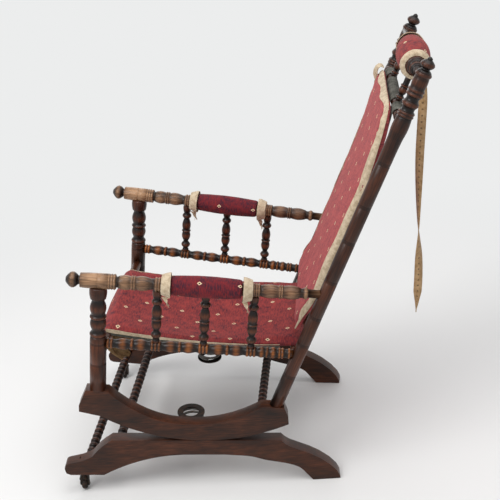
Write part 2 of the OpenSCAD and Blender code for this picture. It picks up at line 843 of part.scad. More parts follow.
module arm_spindle(s, k) {
    y = spindle_middle_y + k * spindle_pitch;
    low = side_rail_h + side_rail_r * spindle_foot_share;
    tenon_low = side_rail_h - spindle_bore_depth + tenon_end_gap;
    color(dark_wood)
        on_frame_side(s) {
            difference() {
                translate([0, y, low])
                    turned(spindle_shares, front_post_top - low, spindle_r);
                at([y - 2 * spindle_r, side_rail_h])
                    along_y()
                        cylinder(h = 4 * spindle_r, r = side_rail_r + fit);
                at([y - 2 * spindle_r, arm_h])
                    along_y()
                        cylinder(h = 4 * spindle_r, r = arm_r * arm_ring_share + fit);
            }
            translate([0, y, tenon_low])
                cylinder(h = arm_h - spindle_tenon_stop - tenon_low, r = small_tenon_r);
        }
}

// Rails across the frame, with a tenon at each end; p is their place on the side frames
module across(p) {
    place = frame_place(p[0]);
    in_frame()
        at([place[1], p[1]])
            along_x()
                translate([0, 0, -place[0]])
                    children();
}

module both_post_clearances(radius) {
    for (s = [-1, 1])
        on_frame_side(s)
            back_post_clearance(radius);
}

module seat_rail_front() {
    span = 2 * frame_place(seat_rail_front_at[0])[0];
    color(dark_wood) {
        difference() {
            across(seat_rail_front_at)
                cylinder(h = span, r = rail_r);
            for (s = [-1, 1])
                on_frame_side(s)
                    translate([0, -front_post_y, rocker_front_h])
                        cylinder(h = arm_h - rocker_front_h, r = front_post_r + fit);
        }
        across(seat_rail_front_at)
            cylinder(h = span, r = tenon_r);
    }
}

// The rear seat rail turns in the back posts while the chair rocks
rail_shoulder_gap = 1;

module seat_rail_rear() {
    half = frame_place(seat_rail_rear_at[0])[0];
    shoulder = back_post_r + rail_shoulder_gap;
    color(dark_wood)
        across(seat_rail_rear_at) {
            cylinder(h = 2 * half, r = tenon_r);
            translate([0, 0, shoulder])
                cylinder(h = 2 * (half - shoulder), r = rail_r);
        }
}

module back_bottom_rail() {
    half = frame_place(back_bottom_rail_at[0])[0];
    color(dark_wood) {
        difference() {
            across(back_bottom_rail_at)
                cylinder(h = 2 * half, r = rail_r);
            both_post_clearances(back_post_r + fit);
        }
        across(back_bottom_rail_at)
            cylinder(h = 2 * half, r = tenon_r);
    }
}

cross_rail_half_shares = concat(
    [[22, 0.8, 0.8, 0.8]], beads(2, 6, 0.8, 0.97), [[34, 0.84, 1, 0.84]], beads(1, 6, 0.8, 0.97),
    [[26, 0.84, 1, 0.84]], beads(2, 7, 0.8, 0.97), [[40, 0.84, 1, 0.84]], beads(1, 6, 0.8, 0.97),
    [[46, 0.84, 1, 0.84]]);
function mirrored(rows) = [for (i = [len(rows) - 1 : -1 : 0])
    [rows[i][0], rows[i][3], rows[i][2], rows[i][1]]];
back_spindle_stop = 4;

module back_cross_rail() {
    half = frame_place(cross_rail_at[0])[0];
    rows = concat(cross_rail_half_shares, mirrored(cross_rail_half_shares));
    color(dark_wood)
        difference() {
            union() {
                difference() {
                    across(cross_rail_at)
                        turned(rows, 2 * half, rail_r);
                    both_post_clearances(back_post_r * turned_head_share + fit);
                }
                across(cross_rail_at)
                    cylinder(h = 2 * half, r = tenon_r);
            }
            for (s = [-1, 1])
                back_spindle_bore(s);
        }
}

// Bosses at each end of the head roll, from the post inwards: a row's length, then three shares
// of the rail's radius. A plain stretch fills what is left between them and the post
boss_lengths = [5, 8, 5, 10, 7];
boss_shares = [[0.9, 1.1, 0.9], [1, 1.4, 1.15], [1.15, 1.3, 1.15], [1.2, 1.6, 1.45], [1.45, 1.85, 1.75]];
boss_total = boss_lengths * [for (l = boss_lengths) 1];
crest_plain_share = 0.8;
function crest_end(length) = concat(
    [concat([length - boss_total], [for (i = [0 : 2]) crest_plain_share])],
    [for (i = [0 : len(boss_lengths) - 1]) concat([boss_lengths[i]], boss_shares[i])]);

module crest_rail() {
    half = frame_place(crest_rail_at[0])[0];
    right_end_l = half + head_roll_shift - head_roll_l / 2;
    left_end_l = half - head_roll_shift - head_roll_l / 2;
    color(dark_wood)
        difference() {
            union() {
                difference() {
                    union() {
                        across(crest_rail_at)
                            turned(crest_end(right_end_l), right_end_l, rail_r);
                        across(crest_rail_at)
                            translate([0, 0, 2 * half - left_end_l])
                                turned(mirrored(crest_end(left_end_l)), left_end_l, rail_r);
                        across(crest_rail_at)
                            cylinder(h = 2 * half, r = rail_r * rail_core_share);
                        across(crest_rail_at)
                            translate([0, 0, right_end_l - overrun])
                                cylinder(h = head_roll_l + 2 * overrun, r = rail_r);
                    }
                    both_post_clearances(back_post_r * turned_head_share + fit);
                }
                across(crest_rail_at)
                    cylinder(h = 2 * half, r = tenon_r);
            }
            for (s = [-1, 1])
                back_spindle_bore(s);
        }
}

// Short spindles between the cross rail and the crest rail
back_spindle_r = 9.5;
back_spindle_shares = [[7, 0.75, 0.8, 0.75], [7, 0.7, 0.95, 0.7], [5, 0.66, 0.6, 0.66],
    [22, 0.7, 1, 0.8], [6, 0.78, 1, 0.78], [10, 0.75, 0.7, 0.72], [40, 0.72, 0.72, 0.72]];
back_spindle_l = crest_rail_along - cross_rail_along;

module back_spindle_line(s) {
    in_frame()
        translate([s * back_spindle_x, frame_place(cross_rail_at[0])[1], cross_rail_at[1]])
            rotate([-rake, 0, 0])
                children();
}

module back_spindle_bore(s) {
    back_spindle_line(s)
        translate([0, 0, back_spindle_stop - tenon_end_gap])
            cylinder(h = back_spindle_l - 2 * back_spindle_stop + 2 * tenon_end_gap,
                r = small_tenon_r + fit);
}

module back_spindle(s) {
    color(dark_wood) {
        back_spindle_line(s)
            translate([0, 0, rail_r + fit])
                turned(back_spindle_shares, back_spindle_l - 2 * (rail_r + fit), back_spindle_r);
        back_spindle_line(s)
            translate([0, 0, back_spindle_stop])
                cylinder(h = back_spindle_l - 2 * back_spindle_stop, r = small_tenon_r);
    }
}

// Pads turned round a rail: a crowned form, drawn in at its ends
pad_shares = [[3, 0.72, 0.84, 0.88], [94, 0.88, 1, 0.88], [3, 0.88, 0.84, 0.72]];
head_roll_shares = [[3, 0.64, 0.69, 0.72], [25, 0.72, 0.85, 0.93], [44, 0.93, 1, 0.93],
    [25, 0.93, 0.85, 0.72], [3, 0.72, 0.69, 0.64]];

module arm_pad(s) {
    color(red_cloth)
        on_frame_side(s)
            difference() {
                at([spindle_middle_y - arm_pad_l / 2, arm_h])
                    along_y()
                        turned(pad_shares, arm_pad_l, arm_pad_r);
                at([spindle_middle_y - arm_pad_l, arm_h])
                    along_y()
                        cylinder(h = 2 * arm_pad_l, r = arm_r * arm_core_share + cloth_gap);
                translate([0, spindle_middle_y, side_rail_h])
                    cylinder(h = arm_h - side_rail_h, r = spindle_r + cloth_gap);
            }
}

module head_roll() {
    half = frame_place(crest_rail_at[0])[0];
    color(red_cloth)
        difference() {
            across(crest_rail_at)
                translate([0, 0, half + head_roll_shift - head_roll_l / 2])
                    turned(head_roll_shares, head_roll_l, head_roll_r);
            across(crest_rail_at)
                cylinder(h = 2 * half, r = rail_r + cloth_gap);
            for (s = [-1, 1])
                back_spindle_line(s)
                    cylinder(h = back_spindle_l, r = back_spindle_r + cloth_gap);
        }
}

// Slung cloth: rings across the width at points of a path; each row is
// [distance back, height, half width, thickness, crown, sag]. The shares across are
// [place, thickness there]
across_shares = [[-1, 0.78], [-0.97, 0.95], [-0.85, 1], [-0.6, 1], [-0.3, 1], [0, 1],
    [0.3, 1], [0.6, 1], [0.85, 1], [0.97, 0.95], [1, 0.78]];
function path_normal(rows, i) =
    let (a = rows[max(i - 1, 0)], b = rows[min(i + 1, len(rows) - 1)], d = [b[0] - a[0], b[1] - a[1]])
    [-d[1], d[0]] / norm(d);
function sling_point(row, n, across, side) =
    let (u = across[0],
        lift = side * row[3] / 2 * across[1] + (1 - u * u) * ((side > 0 ? row[4] : 0) - row[5]))
    [row[2] * u, row[0] + n[0] * lift, row[1] + n[1] * lift];
function sling_ring(rows, i) =
    let (n = path_normal(rows, i), last = len(across_shares) - 1)
    concat(
        [for (k = [0 : last]) sling_point(rows[i], n, across_shares[k], 1)],
        [for (k = [last : -1 : 0]) sling_point(rows[i], n, across_shares[k], -1)]);

module sling(rows) {
    tube_skin([for (i = [0 : len(rows) - 1]) sling_ring(rows, i)]);
}

// The seat hangs between its two rails and wraps round them
webbing_t = 1.2;
webbing_slack = 3.6;
webbing_count = 5;
webbing_w = 40;
webbing_pitch = 62;
seat_edge_drop = 10;
wrap_start = 250;
wrap_end = -60;
wrap_leave = 25;
wrap_steps = 8;
wrap_step = (wrap_start - 90 + wrap_leave) / wrap_steps;
span_steps = 20;
seat_end_share = 0.97;
seat_front_centre = [frame_place(seat_rail_front_at[0])[1], seat_rail_front_at[1]];
seat_rear_centre = [frame_place(seat_rail_rear_at[0])[1], seat_rail_rear_at[1]];
webbing_gap = 1;
seat_round = (rail_r + cloth_gap) / cos(wrap_step / 2) + webbing_t + webbing_gap + seat_t / 2;

function wrap_place(centre, radius, a) = centre + radius * [cos(a), sin(a)];
function wrap_rows(centre, radius, from, to, half_w, t) =
    [for (i = [0 : wrap_steps])
        let (p = wrap_place(centre, radius, from + (to - from) * i / wrap_steps))
        [p[0], p[1], half_w, t, 0, 0]];
function seat_path() =
    let (front = wrap_place(seat_front_centre, seat_round, 90 - wrap_leave),
        rear = wrap_place(seat_rear_centre, seat_round, 90 + wrap_leave),
        end_half_w = seat_half_w * seat_end_share)
    concat(
        wrap_rows(seat_front_centre, seat_round, wrap_start, 90 - wrap_leave, end_half_w, seat_t),
        [for (i = [1 : span_steps - 1])
            let (v = i / span_steps, hang = 4 * v * (1 - v), p = front + (rear - front) * v)
            [p[0], p[1] - seat_edge_drop * hang, end_half_w + (seat_half_w - end_half_w) * hang,
             seat_t, seat_crown * hang, seat_sag * hang]],
        wrap_rows(seat_rear_centre, seat_round, 90 + wrap_leave, wrap_end, end_half_w, seat_t));

// Rows of a thin band that follows the underside of slung cloth
function under(rows, t, gap, slack) =
    [for (i = [0 : len(rows) - 1])
        let (row = rows[i], n = path_normal(rows, i), d = row[3] / 2 + gap + t / 2)
        [row[0] - n[0] * d, row[1] - n[1] * d, row[2], t, 0, row[5] == 0 ? 0 : row[5] + slack]];

module seat_cushion() {
    color(red_cloth)
        in_frame()
            sling(seat_path());
}

// Webbing bands under the seat, each following its own line of the sagging seat
function band_ring(rows, i, low_x, high_x) =
    let (n = path_normal(rows, i), row = rows[i])
    [for (c = [[low_x, 1], [high_x, 1], [high_x, -1], [low_x, -1]])
        let (u = c[0] / row[2], lift = c[1] * row[3] / 2 - (1 - u * u) * row[5])
        [c[0], row[0] + n[0] * lift, row[1] + n[1] * lift]];

module seat_webbing() {
    rows = under(seat_path(), webbing_t, webbing_gap, webbing_slack);
    color(jute)
        in_frame()
            for (k = [0 : webbing_count - 1])
                let (x = (k - (webbing_count - 1) / 2) * webbing_pitch)
                tube_skin([for (i = [0 : len(rows) - 1])
                    band_ring(rows, i, x - webbing_w / 2, x + webbing_w / 2)]);
}

// The back panel hangs in front of the posts. Its rows are shares of its height and of its
// half width, then its middle's distance in front of the posts, thickness and crown as shares
// of its thickness at the middle
panel_low_along = 172;
panel_high_along = back_post_l * panel_top_share;
panel_rows_shares = [[0, 0.95, 1.17, 0.62, 0], [0.02, 0.98, 1.1, 0.68, 0.05], [0.05, 1, 1.05, 0.72, 0.08],
    [0.085, 1, 0.97, 0.7, 0.1], [0.13, 1, 0.7, 0.85, 0.18], [0.185, 1, 0.48, 0.9, 0.25],
    [0.33, 1, 0.44, 1, 0.3], [0.51, 1, 0.43, 1, 0.3], [0.67, 1, 0.48, 1, 0.3], [0.76, 1, 0.65, 0.95, 0.25],
    [0.83, 1, 0.88, 0.9, 0.2], [0.9, 0.99, 1.12, 0.83, 0.13], [0.945, 0.96, 1.3, 0.75, 0.08],
    [0.975, 0.9, 1.41, 0.62, 0.04], [0.993, 0.8, 1.46, 0.46, 0], [1, 0.7, 1.47, 0.36, 0]];

function panel_row(share) =
    let (p = on_post(panel_low_along + (panel_high_along - panel_low_along) * share[0], panel_t * share[2]))
    [frame_place(p[0])[1], p[1], panel_half_w * share[1], panel_t * share[3], panel_t * share[4], 0];
function panel_path() = smooth([for (share = panel_rows_shares) panel_row(share)]);

module back_panel() {
    color(red_cloth)
        in_frame()
            sling(panel_path());
}

// Lining bands behind the panel, wrapped round the bottom rail and the cross rail
lining_t = 1;
lining_wrap_steps = 8;
lining_hidden_end = 320;
lining_hang_end = -40;
lining_leave = 8;
lining_edges = [[-168, -116], [-84, 84], [116, 168]];
lining_low_h = 335;
lining_high_share = 0.8683;
lining_high_h = back_post_l * lining_high_share;
front_direction = 180 - rake;
lining_step = (front_direction + lining_leave - lining_hang_end) / lining_wrap_steps;
lining_round = (rail_r + cloth_gap) / cos(lining_step / 2) + lining_t / 2;

function lining_wrap(centre, from, to) =
    [for (i = [0 : lining_wrap_steps])
        let (p = wrap_place(centre, lining_round, from + (to - from) * i / lining_wrap_steps))
        [p[0], p[1], panel_half_w, lining_t, 0, 0]];
function lining_path() =
    let (low = frame_place(back_bottom_rail_at[0])[1], high = frame_place(cross_rail_at[0])[1])
    concat(
        lining_wrap([low, back_bottom_rail_at[1]], lining_hidden_end, front_direction - lining_leave),
        [for (row = under(panel_path(), lining_t, cloth_gap, 0)) if (row[1] > lining_low_h && row[1] < lining_high_h) row],
        lining_wrap([high, cross_rail_at[1]], front_direction + lining_leave, lining_hang_end));

module back_lining() {
    rows = lining_path();
    color(jute)
        in_frame()
            for (edges = lining_edges)
                tube_skin([for (i = [0 : len(rows) - 1]) band_ring(rows, i, edges[0], edges[1])]);
}

// Braid that hangs loose from the near end of the head roll, plumb while the chair rests.
// Each row is [share of its length down, distance back as a share of its width, turn in degrees]
braid_t = 1.6;
braid_shares = [[0, 0.62, 0], [0.05, 0.72, 0], [0.1, 0.74, 4], [0.2, 0.56, 8], [0.3, 0.38, 20],
    [0.4, 0.27, 40], [0.5, 0.2, 62], [0.6, 0.17, 84], [0.68, 0.18, 116], [0.75, 0.18, 150],
    [0.85, 0.1, 176], [0.93, -0.05, 196], [1, -0.2, 206]];
braid_start_drop = 24;
function floor_place(p) = [
    floor_y(p) - middle_y,
    (heel_y - p[0]) * sin(base_tilt) + p[1] * cos(base_tilt)];
braid_top = floor_place(base_from_frame([frame_place(crest_rail_at[0])[1], crest_rail_at[1]]));
function braid_ring(row) =
    let (c = cos(row[2]), s = sin(row[2]), y = braid_top[0] + row[1] * braid_w,
        z = braid_top[1] - braid_start_drop - row[0] * loose_braid_l)
    [for (q = [[1, 1], [-1, 1], [-1, -1], [1, -1]])
        let (w = q[0] * braid_w / 2, t = q[1] * braid_t / 2)
        [head_roll_shift + head_roll_l / 2 + cloth_gap + braid_t / 2 + t * c + w * s, y + w * c - t * s, z]];

module loose_braid() {
    color(cream_braid)
        tube_skin([for (row = smooth(smooth(braid_shares))) braid_ring(row)]);
}

runner(1);  // base_runner_left
runner(-1);  // base_runner_right
stretcher(stretcher_front_at);  // base_stretcher_front
stretcher(stretcher_middle_at);  // base_stretcher_middle
stretcher(stretcher_rear_at);  // base_stretcher_rear
lower_bracket_place(1) spring_bracket(-1, runner_t);  // spring_bracket_lower_left
lower_bracket_place(-1) spring_bracket(-1, runner_t);  // spring_bracket_lower_right
for (s = [-1, 1])  // lower_bracket_screws
        lower_bracket_place(s) bracket_screws(-1, runner_t);
caster_socket(1);  // caster_socket_left
caster_socket(-1);  // caster_socket_right
caster_fork(1);  // caster_fork_left
caster_fork(-1);  // caster_fork_right
caster_axle(1);  // caster_axle_left
caster_axle(-1);  // caster_axle_right
caster_wheel(1);  // caster_wheel_left
caster_wheel(-1);  // caster_wheel_right
coil_spring(1);  // coil_spring_left
coil_spring(-1);  // coil_spring_right
seat_rail_rear();
rocker(1);  // rocker_left
rocker(-1);  // rocker_right
front_post(1);  // front_post_left
front_post(-1);  // front_post_right
back_post(1);  // back_post_left
back_post(-1);  // back_post_right
arm_rail(1);  // arm_rail_left
arm_rail(-1);  // arm_rail_right
side_rail(1);  // side_rail_left
side_rail(-1);  // side_rail_right
arm_spindle(1, -1);  // arm_spindle_left_front
arm_spindle(1, 0);  // arm_spindle_left_middle
arm_spindle(1, 1);  // arm_spindle_left_rear
arm_spindle(-1, -1);  // arm_spindle_right_front
arm_spindle(-1, 0);  // arm_spindle_right_middle
arm_spindle(-1, 1);  // arm_spindle_right_rear
seat_rail_front();
back_bottom_rail();
back_cross_rail();
crest_rail();
back_spindle(1);  // back_spindle_left
back_spindle(-1);  // back_spindle_right
upper_bracket_place(1) spring_bracket(1, rocker_t);  // spring_bracket_upper_left
upper_bracket_place(-1) spring_bracket(1, rocker_t);  // spring_bracket_upper_right
for (s = [-1, 1])  // upper_bracket_screws
        upper_bracket_place(s) bracket_screws(1, rocker_t);
seat_webbing();
seat_cushion();
back_lining();
back_panel();
head_roll();
arm_pad(1);  // arm_pad_left
arm_pad(-1);  // arm_pad_right
loose_braid();
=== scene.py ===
"""Dresses the platform rocker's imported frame: turned and sawn wood, red cloth, braid, springs and iron."""

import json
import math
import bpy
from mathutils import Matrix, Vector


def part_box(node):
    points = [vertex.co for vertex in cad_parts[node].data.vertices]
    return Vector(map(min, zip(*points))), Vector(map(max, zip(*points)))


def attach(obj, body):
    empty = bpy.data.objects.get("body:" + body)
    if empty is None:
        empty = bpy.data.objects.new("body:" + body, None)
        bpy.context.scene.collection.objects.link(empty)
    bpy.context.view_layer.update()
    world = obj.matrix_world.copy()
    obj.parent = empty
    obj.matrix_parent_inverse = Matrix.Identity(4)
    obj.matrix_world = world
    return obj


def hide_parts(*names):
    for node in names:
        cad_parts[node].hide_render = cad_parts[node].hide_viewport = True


bl_info = {
    "name": "Platform Rocker",
    "version": (1, 0, 0),
    "blender": (4, 5, 0),
    "location": "View3D > Sidebar > Rocker",
    "description": "Builds the wood, cloth, braid and springs of a platform rocker around its frame",
    "category": "Object",
}

import bmesh
import bpy
import numpy as np
from mathutils import Matrix, Vector
from mathutils.bvhtree import BVHTree

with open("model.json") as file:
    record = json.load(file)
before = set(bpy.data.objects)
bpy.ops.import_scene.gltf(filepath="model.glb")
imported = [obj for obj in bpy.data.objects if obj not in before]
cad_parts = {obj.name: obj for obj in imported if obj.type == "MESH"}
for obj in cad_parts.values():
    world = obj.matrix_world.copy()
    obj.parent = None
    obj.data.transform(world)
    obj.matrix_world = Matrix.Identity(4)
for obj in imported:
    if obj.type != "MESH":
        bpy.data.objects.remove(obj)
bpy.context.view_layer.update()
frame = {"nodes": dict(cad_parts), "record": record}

SIDES = (("left", 1), ("right", -1))

# Stance of the chair, as the frame has it, in metres and radians
BASE_TILT = math.radians(4.2)
REST_TILT = math.radians(4)
SPLAY = math.radians(4.39)
RAKE = math.radians(16.05)
SIDE_X = 0.237
CONTACT_Y = 0.0037
HEEL_Y = 0.332
RUNNER_H = 0.11
CONTACT_GAP = 0.0003
ROCKER_R = 0.46
ROCKER_CENTRE_H = RUNNER_H + CONTACT_GAP + ROCKER_R
PIVOT_Y = ROCKER_R * math.sin(REST_TILT)
POST_Y = 0.197
POST_H = 0.105
POST_L = 0.881
MIDDLE_Y = 0.117369

# Seat and back, as the frame has them
SEAT_HALF_W = 0.169
SEAT_DROP = 0.01
SEAT_ROUND = 0.0208
SEAT_FRONT = (-0.2225, 0.203)
SEAT_REAR_H = 0.215
WRAP_START, WRAP_END, WRAP_LEAVE = math.radians(250), math.radians(-60), math.radians(25)
PANEL_HALF_W = 0.189
PANEL_T = 0.02
PANEL_LOW = 0.172
PANEL_HIGH = POST_L * 0.8513
# Shares of the panel's height, half width, distance in front of the posts and thickness
PANEL_ROWS = [
    (0, 0.95, 1.17, 0.62), (0.02, 0.98, 1.1, 0.68), (0.05, 1, 1.05, 0.72), (0.085, 1, 0.97, 0.7),
    (0.13, 1, 0.7, 0.85), (0.185, 1, 0.48, 0.9), (0.33, 1, 0.44, 1), (0.51, 1, 0.43, 1),
    (0.67, 1, 0.48, 1), (0.76, 1, 0.65, 0.95), (0.83, 1, 0.88, 0.9), (0.9, 0.99, 1.12, 0.83),
    (0.945, 0.96, 1.3, 0.75), (0.975, 0.9, 1.41, 0.62), (0.993, 0.8, 1.46, 0.46), (1, 0.7, 1.47, 0.36),
]

# Arms, head roll, springs and loose braid, as the frame has them
ARM_H = 0.403
ARM_PAD_MIDDLE, ARM_PAD_L, ARM_PAD_R = 0.0175, 0.164, 0.0275
CREST_ALONG, CREST_FRONT = POST_L * 0.9489, 0.007
ROLL_SHIFT, ROLL_L, ROLL_R = 0.034, 0.18, 0.0395
SPRING_R, SPRING_WIRE_R, SPRING_TURNS = 0.0275, 0.003, 5
LOOSE_BRAID_L, LOOSE_BRAID_W = 0.56, 0.019
# Share of the loose braid's length down, and its turn in degrees
BRAID_TURNS = [
    (0, 0), (0.05, 0), (0.1, 4), (0.2, 8), (0.3, 20), (0.4, 40), (0.5, 62), (0.6, 84), (0.68, 116),
    (0.75, 150), (0.85, 176), (0.93, 196), (1, 206),
]

# Stuffing: the cloth starts this far inside the form, and may swell this far past that
STUFFING_INSET = 0.0022
BROAD_SWELL, ROUND_SWELL = 0.005, 0.003

# Braid sewn to the edges, and below it a strip of grey lining cloth that stands in for a painted highlight on
# the side rail's top
SEAM_STEP = 0.006
HEM_W, HEM_T, HEM_STEP = 0.0085, 0.0013, 0.008
RAIL_HIGHLIGHT_STRIP_W, RAIL_HIGHLIGHT_STRIP_T = 0.014, 0.0012
# Both run along the seat's side, that far from the ends of its path. Each lies that far below the
# cloth's edge and that far out from it
HEM_START, HEM_END = 0.055, 0.085
HEM_LOW, HEM_OUT = 0.0022, 0.0011
RAIL_HIGHLIGHT_STRIP_LOW, RAIL_HIGHLIGHT_STRIP_OUT = 0.008, -0.0025
PANEL_BRAID_INSET, PANEL_BRAID_T, PANEL_BRAID_LIFT = 0.009, 0.0014, 0.0009
# Lines across the panel's braid: distance out from its seam, and turn round the panel's edge in degrees
PANEL_BRAID_LAY = ((-0.009, 0), (-0.004, 0), (0, 12), (0, 38), (0, 64), (0, 88))
# The panel's braid has come away at the top: its loop, as distance in front of the panel and up it
CURL_X, CURL_T = -0.138, 0.0014
CURL = np.array((
    (0.002, 0.005), (0.007, 0.0075), (0.0125, 0.006), (0.0162, 0.0),
    (0.017, -0.009), (0.0145, -0.018), (0.0095, -0.025), (0.006, -0.029),
))
# Sections of the braid round the ends, as distance past the end and radius
ROLL_RING = ((-0.011, 0.0315), (-0.006, 0.0305), (-0.001, 0.0285), (0.0012, 0.0262), (0.0016, 0.0222))
PAD_RING = (
    (-0.003, 0.0272), (0.002, 0.027), (0.007, 0.0255), (0.012, 0.0238), (0.0165, 0.0222), (0.0175, 0.0165),
)
RING_STEPS = 64

# The torn lining: its flat size, its upper near corner, and how far its shortest strand reaches
TORN_W, TORN_L, TORN_T, TORN_SHORTEST = 0.14, 0.09, 0.0008, 0.55
TORN_X, TORN_Y, TORN_Z = 0.02, -0.334, 0.345

# The cloth's u and v at x = 0 and at the start of the seat's and the panel's path. They set where its rows
# of lozenges lie, and keep both above 0
CLOTH_U, SEAT_V, PANEL_V = 1.002, 0.953, 1


def on_post(along, front):
    """A place by the back posts in the rocking frame, as (distance back, height)."""
    return (
        POST_Y + along * math.sin(RAKE) - front * math.cos(RAKE),
        POST_H + along * math.cos(RAKE) + front * math.sin(RAKE),
    )


def on_side(back):
    """Where a side frame stands, that far back: (distance from the middle, distance back)."""
    return (
        SIDE_X - (back - PIVOT_Y) * math.sin(SPLAY),
        PIVOT_Y + (back - PIVOT_Y) * math.cos(SPLAY),
    )


def in_chair(x, back, height):
    """A place of the rocking frame as a point on the floor's axes."""
    ahead = CONTACT_Y + back * math.cos(REST_TILT) + (height - ROCKER_R) * math.sin(REST_TILT)
    up = ROCKER_CENTRE_H - back * math.sin(REST_TILT) + (height - ROCKER_R) * math.cos(REST_TILT)
    return Vector((
        x,
        HEEL_Y + (ahead - HEEL_Y) * math.cos(BASE_TILT) + up * math.sin(BASE_TILT) - MIDDLE_Y,
        (HEEL_Y - ahead) * math.sin(BASE_TILT) + up * math.cos(BASE_TILT),
    ))


def on_side_frame(side, back, height):
    """A point in the middle of a side frame."""
    x, behind = on_side(back)
    return in_chair(side * x, behind, height)


def smooth_rows(rows, steps):
    """A smooth curve through rows of numbers."""
    p = [np.array(r, float) for r in rows]
    out = []
    for i in range(len(p) - 1):
        a, b, c, d = p[max(i - 1, 0)], p[i], p[i + 1], p[min(i + 2, len(p) - 1)]
        for t in np.arange(steps) / steps:
            out.append(0.5 * (2 * b + (c - a) * t + (2 * a - 5 * b + 4 * c - d) * t * t
                              + (3 * b - a - 3 * c + d) * t ** 3))
    return np.array(out + [p[-1]])


def panel_path():
    """Rows up the back panel: its middle's y and z, and its half width."""
    rows = []
    for share, width, front, _ in smooth_rows(PANEL_ROWS, 6):
        back, height = on_post(PANEL_LOW + (PANEL_HIGH - PANEL_LOW) * share, PANEL_T * front)
        point = in_chair(0, on_side(back)[1], height)
        rows.append((point.y, point.z, PANEL_HALF_W * width))
    return np.array(rows)


def seat_path():
    """Rows along the slung seat, from under its front rail to under its rear one, like panel_path's."""
    front = (on_side(SEAT_FRONT[0])[1], SEAT_FRONT[1])
    rear = (on_side(POST_Y + (SEAT_REAR_H - POST_H) * math.tan(RAKE))[1], SEAT_REAR_H)
    rolls = []
    for centre, start, end in (
        (front, WRAP_START, math.pi / 2 - WRAP_LEAVE), (rear, math.pi / 2 + WRAP_LEAVE, WRAP_END),
    ):
        turns = np.linspace(start, end, 14)
        rolls.append(centre + SEAT_ROUND * np.stack([np.cos(turns), np.sin(turns)], 1))
    share = np.linspace(0, 1, 30)[1:-1, None]
    sling = rolls[0][-1] + (rolls[1][0] - rolls[0][-1]) * share
    sling[:, 1:] -= SEAT_DROP * 4 * share * (1 - share)
    rows = []
    for line, width in ((rolls[0], 0.97), (sling, 1), (rolls[1], 0.97)):
        for back, height in line:
            point = in_chair(0, back, height)
            rows.append((point.y, point.z, SEAT_HALF_W * width))
    return np.array(rows)


# Colours and nodes
def srgb(code):
    """A hex colour as Blender's linear one."""
    values = [int(code[i:i + 2], 16) / 255 for i in (1, 3, 5)]
    return tuple(v / 12.92 if v <= 0.04045 else ((v + 0.055) / 1.055) ** 2.4 for v in values) + (1,)


BLACK, WHITE = srgb("#000000"), srgb("#ffffff")


def feed(node, inputs):
    """Sets a node's inputs, by name or in order. A node given as a value is linked by its own output."""
    for key, value in inputs.items() if isinstance(inputs, dict) else enumerate(inputs):
        if isinstance(value, bpy.types.Node):
            value = next(socket for socket in value.outputs if socket.enabled)
        if isinstance(value, bpy.types.NodeSocket):
            node.id_data.links.new(value, node.inputs[key])
        else:
            node.inputs[key].default_value = value


def add(tree, kind, inputs=(), **settings):
    """Adds a node with its settings and inputs."""
    node = tree.nodes.new(kind)
    for key, value in settings.items():
        setattr(node, key, value)
    feed(node, inputs)
    return node


def new_material(name, values):
    """A material whose surface shader has the values given: (its tree, the shader)."""
    material = bpy.data.materials.new(name)
    material.use_nodes = True
    tree = material.node_tree
    tree.nodes.clear()
    shader = add(tree, "ShaderNodeBsdfPrincipled", values)
    add(tree, "ShaderNodeOutputMaterial", {"Surface": shader})
    return tree, shader


def stops(node, *rows):
    """Sets a colour ramp's stops from (place, colour) rows."""
    ramp = node.color_ramp
    while len(ramp.elements) > 1:
        ramp.elements.remove(ramp.elements[-1])
    ramp.elements[0].position = rows[0][0]
    ramp.elements[0].color = rows[0][1]
    for place, colour in rows[1:]:
        ramp.elements.new(place).color = colour
    return node


def drawn_out(tree, place, scale, detail, roughness):
    """Noise drawn out along an axis: scale gives its cells to the metre."""
    at = add(tree, "ShaderNodeMapping", {"Vector": place, "Scale": scale})
    return add(tree, "ShaderNodeTexNoise", {
        "Vector": at, "Scale": 1, "Detail": detail, "Roughness": roughness,
    })


def threads_with_painted_shade(tree, tone, height, low, high):
    """A cloth's tone with painted shade between its threads: times low there and high on them, with the
    threads' relief.
    """
    thread_shade = add(tree, "ShaderNodeMapRange", {"Value": height, "To Min": low, "To Max": high})
    shaded = add(tree, "ShaderNodeMix", {0: 1.0, 6: tone, 7: thread_shade}, data_type="RGBA", blend_type="MULTIPLY")
    return shaded, add(tree, "ShaderNodeBump", {"Height": height, "Strength": 0.5, "Distance": 0.0006})


